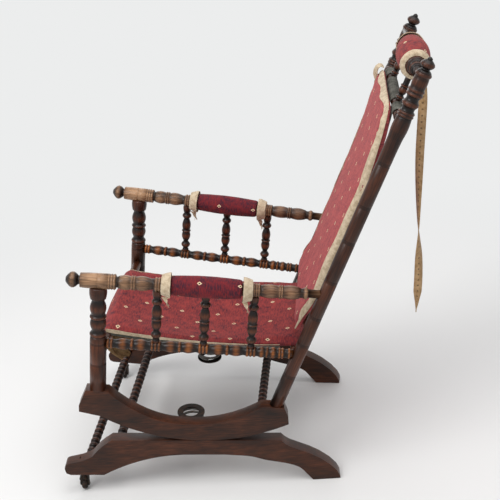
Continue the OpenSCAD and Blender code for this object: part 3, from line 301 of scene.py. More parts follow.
def stained_wood(name, dark, mid, worn, wear, roughness):
    """Beech under an old dark stain: streaked, nearly black in the grooves with dirt and painted shade, and
    rubbed pale on the ridges.
    """
    tree, shader = new_material(name, {
        "Specular IOR Level": 0.24, "Coat Weight": 0.11, "Coat Roughness": 0.16,
    })
    grain = add(tree, "ShaderNodeAttribute", attribute_name="grain").outputs["Vector"]
    # Streaks about 3 mm wide and 60 mm long, in patches about 35 mm wide and 90 mm long
    streak = drawn_out(tree, grain, (330, 330, 16), 4, 0.6)
    patch = drawn_out(tree, grain, (28, 28, 11), 3, 0.55)
    # Pores are 1 mm dashes here, coarser than beech's own, so that they show
    pore = drawn_out(tree, grain, (900, 900, 90), 2, 0.7)
    both = add(tree, "ShaderNodeMath", (streak, patch), operation="MULTIPLY")
    thinned = tuple(0.55 * a + 0.45 * b for a, b in zip(mid, worn))
    tone = stops(add(tree, "ShaderNodeValToRGB", {"Fac": both}), (0.1, dark), (0.26, mid), (0.42, thinned))
    rubbed = add(tree, "ShaderNodeAttribute", attribute_name="rubbed").outputs["Fac"]
    unevenly = stops(add(tree, "ShaderNodeValToRGB", {"Fac": both}), (0.12, srgb("#6a6a6a")), (0.34, WHITE))
    rub = add(tree, "ShaderNodeMath", (rubbed, unevenly), operation="MULTIPLY")
    rub = add(tree, "ShaderNodeMath", (rub, wear), operation="MULTIPLY", use_clamp=True)
    coloured = add(tree, "ShaderNodeMix", {0: rub, 6: tone, 7: worn}, data_type="RGBA")
    # The grooves are darkened nearly to black: partly dirt, partly painted shade where light can't reach
    groove = add(tree, "ShaderNodeAttribute", attribute_name="groove").outputs["Fac"]
    groove_dirt_and_shade = add(tree, "ShaderNodeMath", (groove, 0.92), operation="MULTIPLY", use_clamp=True)
    soiled_and_shaded = add(tree, "ShaderNodeMix", {0: groove_dirt_and_shade, 6: coloured, 7: srgb("#0f0907")}, data_type="RGBA")
    rough = add(tree, "ShaderNodeMapRange", {
        "Value": streak, "To Min": roughness - 0.08, "To Max": roughness + 0.12,
    })
    relief = add(tree, "ShaderNodeMath", (pore, streak), operation="ADD")
    bump = add(tree, "ShaderNodeBump", {"Height": relief, "Strength": 0.22, "Distance": 0.0006})
    feed(shader, {"Base Color": soiled_and_shaded, "Roughness": rough, "Normal": bump})


def figured_cloth(name, ground, fleck, flecked, cloth):
    """Wool moquette with small cream lozenges in staggered rows; its short pile gives it a pink sheen."""
    tree, shader = new_material(name, {
        "Roughness": 0.92, "Specular IOR Level": 0.25, "Sheen Weight": 0.16, "Sheen Roughness": 0.4,
        "Sheen Tint": srgb("#e8b4a8"),
    })
    place = add(tree, "ShaderNodeUVMap", uv_map="cloth")
    across, along = add(tree, "ShaderNodeSeparateXYZ", (place,)).outputs[:2]
    # With its ragged edge each lozenge is about 12 mm along the cloth and 10 mm across it
    half_across, half_along = 0.0058, 0.0068
    folds = []
    for run, half_pitch in ((across, cloth.rows_apart), (along, cloth.pitch / 2)):
        near = add(tree, "ShaderNodeMath", (run, half_pitch), operation="PINGPONG")
        folds.append((near, add(tree, "ShaderNodeMath", (half_pitch, near), operation="SUBTRACT")))
    reach = []
    for u, v in zip(*folds):
        u = add(tree, "ShaderNodeMath", (u, half_across), operation="DIVIDE")
        reach.append(add(tree, "ShaderNodeMath", (v, 1 / half_along, u), operation="MULTIPLY_ADD"))
    nearest = add(tree, "ShaderNodeMath", reach, operation="MINIMUM")
    # Threads about 1.6 mm apart, coarser than the cloth's own, so that they show
    thread = drawn_out(tree, place, (400, 620, 1), 2, 0.6)
    ragged = add(tree, "ShaderNodeMath", (thread, 0.26, nearest), operation="MULTIPLY_ADD")
    centre = srgb("#3a1620")
    lozenge = stops(
        add(tree, "ShaderNodeValToRGB", {"Fac": ragged}),
        (0.0, centre), (0.48, centre), (0.56, cloth.cream), (0.97, cloth.cream), (1, ground),
    )
    inside = add(tree, "ShaderNodeMath", (ragged, 1.12), operation="LESS_THAN")
    flecks = drawn_out(tree, place, (70, 420, 1), 5, 0.75)
    mottle = add(tree, "ShaderNodeTexNoise", {"Vector": place, "Scale": 26, "Detail": 3})
    # Dark threads crowd together in patches 15 mm across
    crowd = add(tree, "ShaderNodeTexNoise", {"Vector": place, "Scale": 62, "Detail": 3, "Roughness": 0.6})
    dense = add(tree, "ShaderNodeMath", (crowd, 0.3, flecks), operation="MULTIPLY_ADD")
    weave = stops(
        add(tree, "ShaderNodeValToRGB", {"Fac": dense}), (0.5 + flecked, fleck), (0.7 + flecked, ground),
    )
    faded = tuple(min(1, 1.22 * c) for c in ground[:3]) + (1,)
    worn = add(tree, "ShaderNodeMapRange", {"Value": mottle, "From Min": 0.45, "From Max": 0.7})
    field = add(tree, "ShaderNodeMix", {0: worn, 6: weave, 7: faded}, data_type="RGBA")
    field_soft = add(tree, "ShaderNodeMix", {0: 0.45, 6: weave, 7: field}, data_type="RGBA")
    drawn = add(tree, "ShaderNodeMix", {0: inside, 6: field_soft, 7: lozenge}, data_type="RGBA")
    # Ribs of the weave about 3 mm apart
    wave = {"Vector": place, "Scale": 100, "Distortion": 1.5}
    warp, weft = (add(tree, "ShaderNodeTexWave", wave, bands_direction=way) for way in "XY")
    knit = add(tree, "ShaderNodeMath", (warp.outputs["Fac"], weft.outputs["Fac"]), operation="MULTIPLY")
    relief = add(tree, "ShaderNodeMath", (knit, flecks), operation="ADD")
    bump = add(tree, "ShaderNodeBump", {"Height": relief, "Strength": 0.35, "Distance": 0.0007})
    feed(shader, {"Base Color": drawn, "Normal": bump})


def sewn_braid(name, pale, soiled_and_shaded, dots):
    """Flat cotton braid: two ribs of slanting stitches with painted shade between them, soiled in places, and
    dark dots where dots is 1.
    """
    tree, shader = new_material(name, {"Roughness": 0.9, "Specular IOR Level": 0.2, "Sheen Weight": 0.15})
    rib_w, stitch_half = 0.00475, 0.0012
    dot_spacing_half, dot_reach = 0.007, 0.0026
    place = add(tree, "ShaderNodeUVMap", uv_map="cloth")
    across, along = add(tree, "ShaderNodeSeparateXYZ", (place,)).outputs[:2]
    rib = add(tree, "ShaderNodeMath", (across, rib_w), operation="PINGPONG")
    slant = add(tree, "ShaderNodeMath", (rib, 0.8, along), operation="MULTIPLY_ADD")
    stitch = add(tree, "ShaderNodeMath", (slant, stitch_half), operation="PINGPONG")
    stitch = add(tree, "ShaderNodeMath", (stitch, 1 / stitch_half), operation="MULTIPLY")
    stain = add(tree, "ShaderNodeTexNoise", {"Vector": place, "Scale": 70, "Detail": 4, "Roughness": 0.65})
    tone = stops(add(tree, "ShaderNodeValToRGB", {"Fac": stain}), (0.36, soiled_and_shaded), (0.58, pale))
    shaded, bump = threads_with_painted_shade(tree, tone, stitch, 0.72, 1.0)
    spot_v = add(tree, "ShaderNodeMath", (along, dot_spacing_half), operation="PINGPONG")
    spot_u = add(tree, "ShaderNodeMath", (across, 2 * rib_w), operation="SUBTRACT")
    spot_u = add(tree, "ShaderNodeMath", (spot_u,), operation="ABSOLUTE")
    spot = add(tree, "ShaderNodeMath", (spot_u, spot_v), operation="ADD")
    spot = add(tree, "ShaderNodeMath", (spot, dot_reach), operation="LESS_THAN")
    spot = add(tree, "ShaderNodeMath", (spot, 0.75 * dots), operation="MULTIPLY")
    dotted = add(tree, "ShaderNodeMix", {0: spot, 6: shaded, 7: srgb("#4d3a2a")}, data_type="RGBA")
    feed(shader, {"Base Color": dotted, "Normal": bump})


def plain_weave(name, pale, dark, thread, slope):
    """Woven jute or hessian: threads over and under, with uneven dark ones, painted shade between them and a
    faint painted highlight on them. Its length runs along z, or down a slope of y to z."""
    tree, shader = new_material(name, {"Roughness": 0.95, "Specular IOR Level": 0.15})
    place = add(tree, "ShaderNodeTexCoord").outputs["Object"]
    x, y, z = add(tree, "ShaderNodeSeparateXYZ", (place,)).outputs
    run = add(tree, "ShaderNodeMath", (y, slope, z), operation="MULTIPLY_ADD")
    over = add(tree, "ShaderNodeMath", (x, thread), operation="PINGPONG")
    under = add(tree, "ShaderNodeMath", (run, thread), operation="PINGPONG")
    knot = add(tree, "ShaderNodeMath", (over, under), operation="ADD")
    knot = add(tree, "ShaderNodeMath", (knot, 0.5 / thread), operation="MULTIPLY")
    stain = add(tree, "ShaderNodeTexNoise", {"Vector": place, "Scale": 45, "Detail": 5, "Roughness": 0.7})
    tone = stops(add(tree, "ShaderNodeValToRGB", {"Fac": stain}), (0.35, dark), (0.6, pale))
    shaded, bump = threads_with_painted_shade(tree, tone, knot, 0.6, 1.05)
    feed(shader, {"Base Color": shaded, "Normal": bump})


def old_metal(name, clean, rust, amount, roughness):
    """Iron or steel gone dull: bare metal with brown rust in patches a few millimetres across."""
    tree, shader = new_material(name, {})
    place = add(tree, "ShaderNodeTexCoord").outputs["Object"]
    patches = add(tree, "ShaderNodeTexNoise", {"Vector": place, "Scale": 160, "Detail": 5, "Roughness": 0.7})
    mask = stops(
        add(tree, "ShaderNodeValToRGB", {"Fac": patches}),
        (0.62 - 0.3 * amount, BLACK), (0.75 - 0.2 * amount, WHITE),
    )
    tone = add(tree, "ShaderNodeMix", {0: mask, 6: clean, 7: rust}, data_type="RGBA")
    metallic = add(tree, "ShaderNodeMapRange", {"Value": mask, "To Min": 1.0, "To Max": 0.2})
    rough = add(tree, "ShaderNodeMapRange", {"Value": mask, "To Min": roughness, "To Max": 0.9})
    bump = add(tree, "ShaderNodeBump", {"Height": patches, "Strength": 0.3, "Distance": 0.0005})
    feed(shader, {"Base Color": tone, "Metallic": metallic, "Roughness": rough, "Normal": bump})


# Meshes
def unit(vector):
    return vector / np.linalg.norm(vector)


def run_of(points):
    """The length along a row of points, at each of them."""
    return np.concatenate(([0], np.cumsum(np.linalg.norm(np.diff(points, axis=0), axis=1))))


def new_piece(name, points, faces):
    mesh = bpy.data.meshes.new(name)
    mesh.from_pydata([tuple(p) for p in points], [], faces)
    mesh.validate()
    piece = bpy.data.objects.new(name, mesh)
    bpy.context.scene.collection.objects.link(piece)
    return piece


def coordinates(mesh):
    co = np.zeros(len(mesh.vertices) * 3)
    mesh.vertices.foreach_get("co", co)
    return co.reshape(-1, 3)


def move_to(mesh, co):
    mesh.vertices.foreach_set("co", co.ravel())
    mesh.update()


def merged_copy(name, node):
    """A copy of a CAD node with its loose triangles merged."""
    piece = new_piece(name, [], [])
    bm = bmesh.new()
    bm.from_mesh(frame["nodes"][node].data)
    bmesh.ops.remove_doubles(bm, verts=bm.verts, dist=0.000005)
    bmesh.ops.dissolve_degenerate(bm, edges=bm.edges, dist=0.000005)
    bm.to_mesh(piece.data)
    bm.free()
    for layer in list(piece.data.uv_layers):
        piece.data.uv_layers.remove(layer)
    return piece


def shade(piece, angle):
    piece.data.shade_smooth()
    piece.data.set_sharp_from_angle(angle=math.radians(angle))


def dress(piece, material, *replaced, body="rocking_frame"):
    """Gives a finished piece its material, the body it rides on and what it stands for."""
    piece.data.materials.clear()
    piece.data.materials.append(bpy.data.materials[material])
    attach(piece, body)
    if replaced:
        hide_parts(*replaced)


def final_mesh(piece):
    """Applies the modifiers of a piece."""
    graph = bpy.context.evaluated_depsgraph_get()
    graph.update()
    made = bpy.data.meshes.new_from_object(piece.evaluated_get(graph))
    piece.modifiers.clear()
    old = piece.data
    piece.data = made
    made.name = piece.name
    bpy.data.meshes.remove(old)


def put(mesh, name, values):
    """Keeps numbers or vectors of each vertex as an attribute."""
    vectors = np.ndim(values) == 2
    attribute = mesh.attributes.new(name, "FLOAT_VECTOR" if vectors else "FLOAT", "POINT")
    attribute.data.foreach_set("vector" if vectors else "value", np.asarray(values, np.float32).ravel())


def windowed(values, half, pick):
    padded = np.pad(values, half, mode="edge")
    return pick(np.lib.stride_tricks.sliding_window_view(padded, 2 * half + 1), axis=1)


def square_to(axis):
    """A direction at right angles to an axis."""
    return unit(np.cross(axis, (0.36, 0.48, 0.8)))


def turning_axis(co):
    """The middle and the direction of a turned piece, through the middles of its rings."""
    ring_length, fewest = 0.004, 12
    centre = co.mean(0)
    axis = np.linalg.svd(np.cov((co - centre).T))[0][:, 0]
    for _ in range(3):
        one = square_to(axis)
        two = np.cross(axis, one)
        d = co - centre
        along = d @ axis
        bins = ((along - along.min()) / ring_length).astype(int)
        rows = []
        for k in np.unique(bins):
            ring = bins == k
            if ring.sum() < fewest:
                continue
            a, b = d[ring] @ one, d[ring] @ two
            rows.append((along[ring].mean(), (a.max() + a.min()) / 2, (b.max() + b.min()) / 2))
        at, a, b = np.array(rows).T
        slope_a, start_a = np.polyfit(at, a, 1)
        slope_b, start_b = np.polyfit(at, b, 1)
        centre = centre + one * start_a + two * start_b
        axis = unit(axis + one * slope_a + two * slope_b)
    return centre, axis


def turning_marks(piece, handled):
    """Marks a turned piece's grain, its grooves and its rubbed ridges, from its own axis.
    A handled piece is rubbed all over towards its front."""
    co = coordinates(piece.data)
    centre, axis = turning_axis(co)
    one = square_to(axis)
    local = (co - centre) @ np.stack([one, np.cross(axis, one), axis], 1)
    along = local[:, 2]
    radius = np.hypot(local[:, 0], local[:, 1])
    # The profile, every millimetre, and the highest and mean radius within 9 and 14 mm of it
    bins = ((along - along.min()) / 0.001).astype(int)
    outer = np.zeros(bins.max() + 1)
    np.maximum.at(outer, bins, radius)
    known = np.flatnonzero(outer > 0.004)
    outer = np.interp(np.arange(len(outer)), known, outer[known])
    ceiling = windowed(outer, 9, np.max)
    level = windowed(outer, 14, np.mean)
    big = np.percentile(outer, 80)
    # How deep each point lies below the ridges near it and below its ring's outer radius; the wood is
    # darkened there with dirt and painted shade
    groove = np.clip((ceiling - outer) / (0.2 * big), 0, 1) ** 0.8
    ridge = np.clip((outer - level + 0.03 * big) / (0.13 * big), 0, 1)
    put(piece.data, "grain", local)
    put(piece.data, "groove", np.maximum(groove[bins], np.clip((outer[bins] - radius) / (0.3 * big), 0, 1)))
    rubbed = ridge[bins]
    if handled:
        share = (co[:, 1] - co[:, 1].min()) / np.ptp(co[:, 1])
        palm = np.clip(1.2 - 2.3 * share, 0.1, 0.92) * np.clip((share - 0.055) * 60, 0.15, 1)
        rubbed = np.maximum(0.6 * rubbed, palm)
    put(piece.data, "rubbed", rubbed)


def plank_marks(piece):
    """Rounds a plank's edges and marks them as rubbed. Its grain runs from front to back."""
    edge_round, sharpest, flattest = 0.0022, math.radians(50), math.radians(0.8)
    bm = bmesh.new()
    bm.from_mesh(piece.data)
    bmesh.ops.dissolve_limit(bm, angle_limit=flattest, verts=bm.verts, edges=bm.edges)
    rubbed = bm.faces.layers.float.new("rubbed")
    sharp = [e for e in bm.edges if len(e.link_faces) == 2 and e.calc_face_angle(0) > sharpest]
    made = bmesh.ops.bevel(
        bm, geom=sharp, offset=edge_round, segments=3, profile=0.6, affect="EDGES", clamp_overlap=True,
    )
    for face in made["faces"]:
        face[rubbed] = 1
    bmesh.ops.triangulate(bm, faces=[f for f in bm.faces if len(f.verts) > 4])
    bm.to_mesh(piece.data)
    bm.free()
    co = coordinates(piece.data)
    put(piece.data, "grain", co[:, [0, 2, 1]])
    put(piece.data, "groove", np.zeros(len(co)))


def stuffed(piece, voxel, pressure, cap):
    """Remeshes a closed soft form, draws it in, and lets air pressure swell it as stuffing does."""
    remesh = piece.modifiers.new("even", "REMESH")
    remesh.mode = "VOXEL"
    remesh.voxel_size = voxel
    final_mesh(piece)
    mesh = piece.data
    normals = np.array([v.normal for v in mesh.vertices])
    move_to(mesh, coordinates(mesh) - normals * STUFFING_INSET)
    start = coordinates(mesh)
    cloth = piece.modifiers.new("stuffing", "CLOTH")
    cloth.settings.quality = 5
    cloth.settings.use_pressure = True
    cloth.settings.uniform_pressure_force = pressure
    cloth.settings.effector_weights.gravity = 0
    cloth.point_cache.frame_start = 1
    cloth.point_cache.frame_end = 20
    for step in range(1, 21):
        bpy.context.scene.frame_set(step)
    final_mesh(piece)
    bpy.context.scene.frame_set(1)
    moved = coordinates(piece.data) - start
    far = np.linalg.norm(moved, axis=1, keepdims=True)
    move_to(piece.data, start + moved * np.minimum(1, cap / np.maximum(far, 1e-9)))


def cloth_uv(piece, uv, turn=None):
    """Lays the cloth's own lengths, in metres, on a piece as its UV map: u and v of each vertex.
    Where the cloth meets itself again, turn is (0 for u or 1 for v, its length once round)."""
    mesh = piece.data
    layer = mesh.uv_layers.new(name="cloth")
    corners = np.zeros(len(mesh.loops), int)
    mesh.loops.foreach_get("vertex_index", corners)
    values = uv[corners]
    if turn:
        axis, once = turn
        starts, totals = np.zeros((2, len(mesh.polygons)), int)
        mesh.polygons.foreach_get("loop_start", starts)
        mesh.polygons.foreach_get("loop_total", totals)
        first = np.repeat(values[starts, axis], totals)
        values[:, axis] -= once * np.round((values[:, axis] - first) / once)
    layer.data.foreach_set("uv", values.astype(np.float32).ravel())


def path_place(path, start):
    """Gives points their place on cloth that follows a path of y and z: x across, the path's length along."""
    line = path[:, :2]
    lengths = run_of(line)

    def place(co):
        best = np.full(len(co), np.inf)
        along = np.zeros(len(co))
        for i, (a, b) in enumerate(zip(line[:-1], line[1:])):
            span = b - a
            t = np.clip(((co[:, 1:] - a) @ span) / max(span @ span, 1e-12), 0, 1)
            gap = np.linalg.norm(co[:, 1:] - a - t[:, None] * span, axis=1)
            near = gap < best
            best[near] = gap[near]
            along[near] = lengths[i] + t[near] * (lengths[i + 1] - lengths[i])
        return np.stack([co[:, 0] + CLOTH_U, along + start], 1)

    return place


def axis_place(start, end, radius, zero, up, shift):
    """Gives points their place on cloth rolled round an axis: round it, then along it.
    A row of lozenges lies up degrees above the direction zero, one of them shift along from the middle."""
    start, end = np.array(start), np.array(end)
    axis = unit(end - start)
    side = unit(np.array(zero) - axis * (axis @ np.array(zero)))
    other = np.cross(axis, side)
    other = other if other[2] > 0 else -other
    turn = math.radians(up)
    row = side * math.cos(turn) + other * math.sin(turn)
    over = other * math.cos(turn) - side * math.sin(turn)

    def place(co):
        d = co - (start + end) / 2
        return np.stack([np.arctan2(d @ over, d @ row) * radius, d @ axis - shift], 1)

    return place


def along_path(path, at):
    """A path at a length along it: its point, its way on, its outward normal and its half width."""
    lengths = run_of(path[:, :2])
    at = min(max(at, 0), lengths[-1])
    point, ahead, behind = (
        np.array([np.interp(place, lengths, path[:, k]) for k in (0, 1)])
        for place in (at, at + 0.003, at - 0.003)
    )
    way = unit(ahead - behind)
    return point, way, np.array([-way[1], way[0]]), np.interp(at, lengths, path[:, 2])


def surface_of(piece):
    mesh = piece.data
    return BVHTree.FromPolygons(
        [v.co.copy() for v in mesh.vertices], [tuple(p.vertices) for p in mesh.polygons],
    )


def strip(name, outer, inner, across, along, once=None):
    """A band of cloth between two grids of points, with a row of each for every step along it. across and
    along are the cloth's lengths at its points. A band that closes on itself has once, its length round."""
    rows, wide = outer.shape[:2]
    count = rows * wide
    faces = []
    for i in range(rows if once else rows - 1):
        j = (i + 1) % rows
        for k in range(wide - 1):
            a, b, c, d = i * wide + k, i * wide + k + 1, j * wide + k + 1, j * wide + k
            faces += [(a, b, c, d), (d + count, c + count, b + count, a + count)]
        for k in (0, wide - 1):
            faces.append((i * wide + k, j * wide + k, j * wide + k + count, i * wide + k + count))
    if not once:
        for end in (0, count - wide):
            faces += [(end + k, end + k + 1, end + k + 1 + count, end + k + count) for k in range(wide - 1)]
    piece = new_piece(name, np.concatenate((outer.reshape(-1, 3), inner.reshape(-1, 3))), faces)
    bm = bmesh.new()
    bm.from_mesh(piece.data)
    bmesh.ops.recalc_face_normals(bm, faces=bm.faces)
    bm.to_mesh(piece.data)
    bm.free()
    uv = np.stack(np.broadcast_arrays(across, along[:, None]), 2).reshape(-1, 2)
    cloth_uv(piece, np.concatenate((uv, uv)), (1, once) if once else None)
    shade(piece, 50)
    return piece


def ribbon(name, rows, width, thickness):
    """A flat strip along rows of (point, direction across it, share of its width)."""
    middle = np.array([tuple(row[0]) for row in rows])
    across = np.linspace(-0.5, 0.5, 5)
    outer, inner = np.zeros((2, len(rows), len(across), 3))
    for i, (_, side, share) in enumerate(rows):
        along = middle[min(i + 1, len(rows) - 1)] - middle[max(i - 1, 0)]
        side = unit(np.array(side))
        lift = unit(np.cross(along, side)) * thickness / 2
        flat = middle[i] + np.outer(across * width * share, side)
        outer[i], inner[i] = flat + lift, flat - lift
    return strip(name, outer, inner, (across + 0.5) * width, run_of(middle))


def panel_braid(name, piece, path, outline):
    """Braid laid along an outline of (x, length along the path) round the edge of a padded piece.
    It wanders a little, and narrows at both ends."""
    surface = surface_of(piece)
    steps = run_of(outline)
    at = np.arange(0, steps[-1], SEAM_STEP)
    line = np.stack([np.interp(at, steps, outline[:, k]) for k in (0, 1)], 1)
    for _ in range(3):
        line[1:-1] = (line[:-2] + 2 * line[1:-1] + line[2:]) / 4
    last = len(line) - 1
    outer, inner = np.zeros((2, len(line), len(PANEL_BRAID_LAY), 3))
    for i, place in enumerate(line):
        side = unit(line[min(i + 1, last)] - line[max(i - 1, 0)]) @ ((0, -1), (1, 0))
        sway = 0.0012 * math.sin(i * 0.31) + 0.0008 * math.sin(i * 0.117 + 1)
        end = min(1, 0.1 + 0.1 * min(i, last - i))
        swell = 1.12 + 0.3 * math.sin(i * 0.23 + 0.6) * math.sin(i * 0.071)
        for k, (out, turn) in enumerate(PANEL_BRAID_LAY):
            x, s = place + side * (out * end * swell + sway)
            point, way, normal, _ = along_path(path, s)
            lean = math.radians(turn * end)
            away = Vector((side[0] * math.sin(lean),
                           *(normal * math.cos(lean) + way * side[1] * math.sin(lean)))).normalized()
            start = Vector((x, *point)) + away * 0.06
            hit = surface.ray_cast(start, -away, 0.2)[0]
            if hit is None:
                hit = surface.find_nearest(start - away * 0.05)[0]
            ruffle = 0.0002 * math.sin(i * 1.7 + k) * math.sin(i * 0.61)
            outer[i, k] = hit + away * (PANEL_BRAID_LIFT + ruffle + PANEL_BRAID_T)
            inner[i, k] = hit + away * PANEL_BRAID_LIFT
    across = np.array([run_of(row) for row in outer])
    return strip(name, outer, inner, across, run_of(outer[:, len(PANEL_BRAID_LAY) // 2]))


def wound_braid(name, foot, axis, profile, thickness, ripple):
    """Braid wound once round an end: a ring whose section is a profile of (way along the axis, radius)."""
    axis = Vector(axis).normalized()
    side = axis.orthogonal().normalized()
    other = axis.cross(side)
    rows = np.array(profile)
    away = np.gradient(rows, axis=0) @ ((0, 1), (-1, 0))
    away /= np.linalg.norm(away, axis=1, keepdims=True)
    away = away if away[0, 1] > 0 else -away
    turns = np.arange(RING_STEPS) / RING_STEPS
    outer, inner = np.zeros((2, RING_STEPS, len(rows), 3))
    for i, a in enumerate(math.tau * turns):
        out = side * math.cos(a) + other * math.sin(a)
        swell = ripple * (math.sin(3 * a + 1) + 0.6 * math.sin(7 * a) + 0.4 * math.sin(13 * a + 2))
        inner[i] = np.array(foot) + np.outer(rows[:, 0], axis) + np.outer(rows[:, 1] + swell, out)
        outer[i] = inner[i] + (np.outer(away[:, 0], axis) + np.outer(away[:, 1], out)) * thickness
    once = math.tau * rows[:, 1].mean()
    return strip(name, outer, inner, run_of(rows), once * turns, once)


def node_tree(name, sizes):
    """A Geometry Nodes tree with named inputs: (tree, its inputs by name)."""
    tree = bpy.data.node_groups.new(name, "GeometryNodeTree")
    tree.interface.new_socket("Geometry", in_out="OUTPUT", socket_type="NodeSocketGeometry")
    for label, kind, value in sizes:
        socket = tree.interface.new_socket(label, in_out="INPUT", socket_type=f"NodeSocket{kind}")
        if value is not None:
            socket.default_value = value
    group = add(tree, "NodeGroupInput")
    return tree, {s.name: s for s in group.outputs if s.name}


def close_tree(tree, geometry, material):
    """Ends a tree in Realize Instances and Set Material."""
    real = add(tree, "GeometryNodeRealizeInstances", (geometry,))
    add(tree, "NodeGroupOutput", (
        add(tree, "GeometryNodeSetMaterial", {"Geometry": real, "Material": material}),
    ))


def grown(name, tree, values):
    """A plain mesh made by a Geometry Nodes tree, whose inputs are set by their sockets' identifiers."""
    piece = new_piece(name, [(0, 0, 0)], [])
    modifier = piece.modifiers.new("nodes", "NODES")
    modifier.node_group = tree
    sockets = {item.name: item.identifier for item in tree.interface.items_tree if item.in_out == "INPUT"}
    for key, value in values.items():
        modifier[sockets[key]] = value
    final_mesh(piece)
    return piece


def spring_tree():
    """A coil spring with its end turns closed, between two shares of its length."""
    tree, given = node_tree("coil_spring", [
        ("Radius", "Float", SPRING_R), ("Wire Radius", "Float", SPRING_WIRE_R),
        ("Turns", "Float", float(SPRING_TURNS)), ("Height", "Float", 0.064),
        ("Start", "Float", 0.0), ("End", "Float", 1.0),
        ("Place", "Vector", None), ("Turn", "Vector", None), ("Finish", "Material", None),
    ])
    spiral = add(tree, "GeometryNodeCurveSpiral", {
        "Resolution": 30, "Rotations": given["Turns"], "Start Radius": given["Radius"],
        "End Radius": given["Radius"], "Height": 1.0,
    })
    x, y, z = add(tree, "ShaderNodeSeparateXYZ", (add(tree, "GeometryNodeInputPosition"),)).outputs
    # The end turns rise at half the pitch
    pitch = add(tree, "ShaderNodeFloatCurve", {"Value": z})
    curve = pitch.mapping.curves[0]
    curve.points.new(0.2, 0.1)
    curve.points.new(0.8, 0.9)
    pitch.mapping.update()
    rise = add(tree, "ShaderNodeMath", (pitch, given["Height"]), operation="MULTIPLY")
    moved = add(tree, "ShaderNodeCombineXYZ", (x, y, rise))
    coil = add(tree, "GeometryNodeSetPosition", {"Geometry": spiral, "Position": moved})
    cut = add(tree, "GeometryNodeTrimCurve", {0: coil, 2: given["Start"], 3: given["End"]}, mode="FACTOR")
    wire = add(tree, "GeometryNodeCurvePrimitiveCircle", {"Resolution": 12, "Radius": given["Wire Radius"]})
    tube = add(tree, "GeometryNodeCurveToMesh", {"Curve": cut, "Profile Curve": wire, "Fill Caps": True})
    stood = add(tree, "GeometryNodeTransform", {
        "Geometry": tube, "Translation": given["Place"], "Rotation": given["Turn"],
    })
    close_tree(tree, stood, given["Finish"])
    return tree


def fray_tree():
    """Loose threads in a row, each of its own lean and length."""
    tree, given = node_tree("frayed_threads", [
        ("Count", "Int", 12), ("Length", "Float", 0.012), ("Thread Radius", "Float", 0.0004),
        ("Start", "Vector", None), ("End", "Vector", None), ("Seed", "Int", 3), ("Finish", "Material", None),
    ])
    row = add(tree, "GeometryNodeMeshLine", {
        "Count": given["Count"], "Start Location": given["Start"], "Offset": given["End"],
    }, mode="END_POINTS")
    thread = add(tree, "GeometryNodeCurvePrimitiveBezierSegment", {
        "Resolution": 6, "Start": (0, 0, 0), "Start Handle": (0, 0, -0.4),
        "End Handle": (0.25, 0.1, -0.7), "End": (0.1, 0.3, -1),
    })
    lean = add(tree, "FunctionNodeRandomValue", {
        "Min": (-0.5, -0.5, -3), "Max": (0.5, 0.5, 3), "Seed": given["Seed"],
    }, data_type="FLOAT_VECTOR")
    size = add(tree, "FunctionNodeRandomValue", {2: 0.5, 3: 1.0, "Seed": given["Seed"]}, data_type="FLOAT")
    long = add(tree, "ShaderNodeMath", (size, given["Length"]), operation="MULTIPLY")
    placed = add(tree, "GeometryNodeInstanceOnPoints", {
        "Points": row, "Instance": thread, "Rotation": lean, "Scale": long,
    })
    real = add(tree, "GeometryNodeRealizeInstances", (placed,))
    section = add(tree, "GeometryNodeCurvePrimitiveCircle", {
        "Resolution": 5, "Radius": given["Thread Radius"],
    })
    tube = add(tree, "GeometryNodeCurveToMesh", {"Curve": real, "Profile Curve": section, "Fill Caps": True})
    close_tree(tree, tube, given["Finish"])
    return tree


# Settings
def colour(name, description, code):
    return bpy.props.FloatVectorProperty(
        name=name, description=description, subtype="COLOR", size=4, min=0, max=1, default=srgb(code),
    )


def length(name, description, value, low=0.0):
    return bpy.props.FloatProperty(
        name=name, description=description, default=value, min=low, unit="LENGTH", subtype="DISTANCE",
    )


class RockerWood(bpy.types.PropertyGroup):
    """Colours of the stained wood."""
    dark: colour("Dark stain", "Stain where it lies thick", "#160b07")
    mid: colour("Stain", "Stain over plain wood", "#2d150a")
    worn: colour("Rubbed wood", "Wood where the stain is rubbed thin", "#a8622c")
    post_worn: colour("Rubbed post", "Posts and spindles where the stain is rubbed", "#6c3a22")
    arm_mid: colour("Arm stain", "Stain on the handled arms", "#5f3b27")
    arm_worn: colour("Arm rubbed", "Wood where hands have rubbed the arms", "#c19873")
    plank: colour("Plank stain", "Stain on the sawn runners and rockers", "#3b1d0d")
    wear: bpy.props.FloatProperty(
        name="Wear", description="How far the ridges are rubbed", default=0.85, min=0, max=1,
        subtype="FACTOR",
    )


class RockerCloth(bpy.types.PropertyGroup):
    """Colours and sizes of the cloth and braid."""
    pad: colour("Arm pad red", "Cloth of the arm pads, out of the light", "#842628")
    seat: colour("Seat red", "Cloth of the seat", "#963a37")
    back: colour("Back red", "Faded cloth of the back", "#ac4c4c")
    fleck: colour("Fleck", "Dark threads in the cloth", "#3d1f2c")
    cream: colour("Lozenge cream", "Outline of the small lozenges", "#e2cba6")
    braid: colour("Braid", "Cream of the sewn braid", "#dfccae")
    loose: colour("Loose braid", "Tan of the hanging braid", "#caa67c")
    pitch: length("Lozenge pitch", "Distance between lozenges along the cloth", 0.09, 0.02)
    rows_apart: length("Row spacing", "Distance between the staggered rows", 0.05, 0.01)
    braid_w: length("Braid width", "Width of the sewn braid", 0.017, 0.004)
    voxel: length("Cloth cell", "Size of a cell of the stuffed pieces", 0.005, 0.003)
    pressure: bpy.props.FloatProperty(
        name="Stuffing", description="Pressure that swells the stuffed pieces", default=4, min=0,
    )


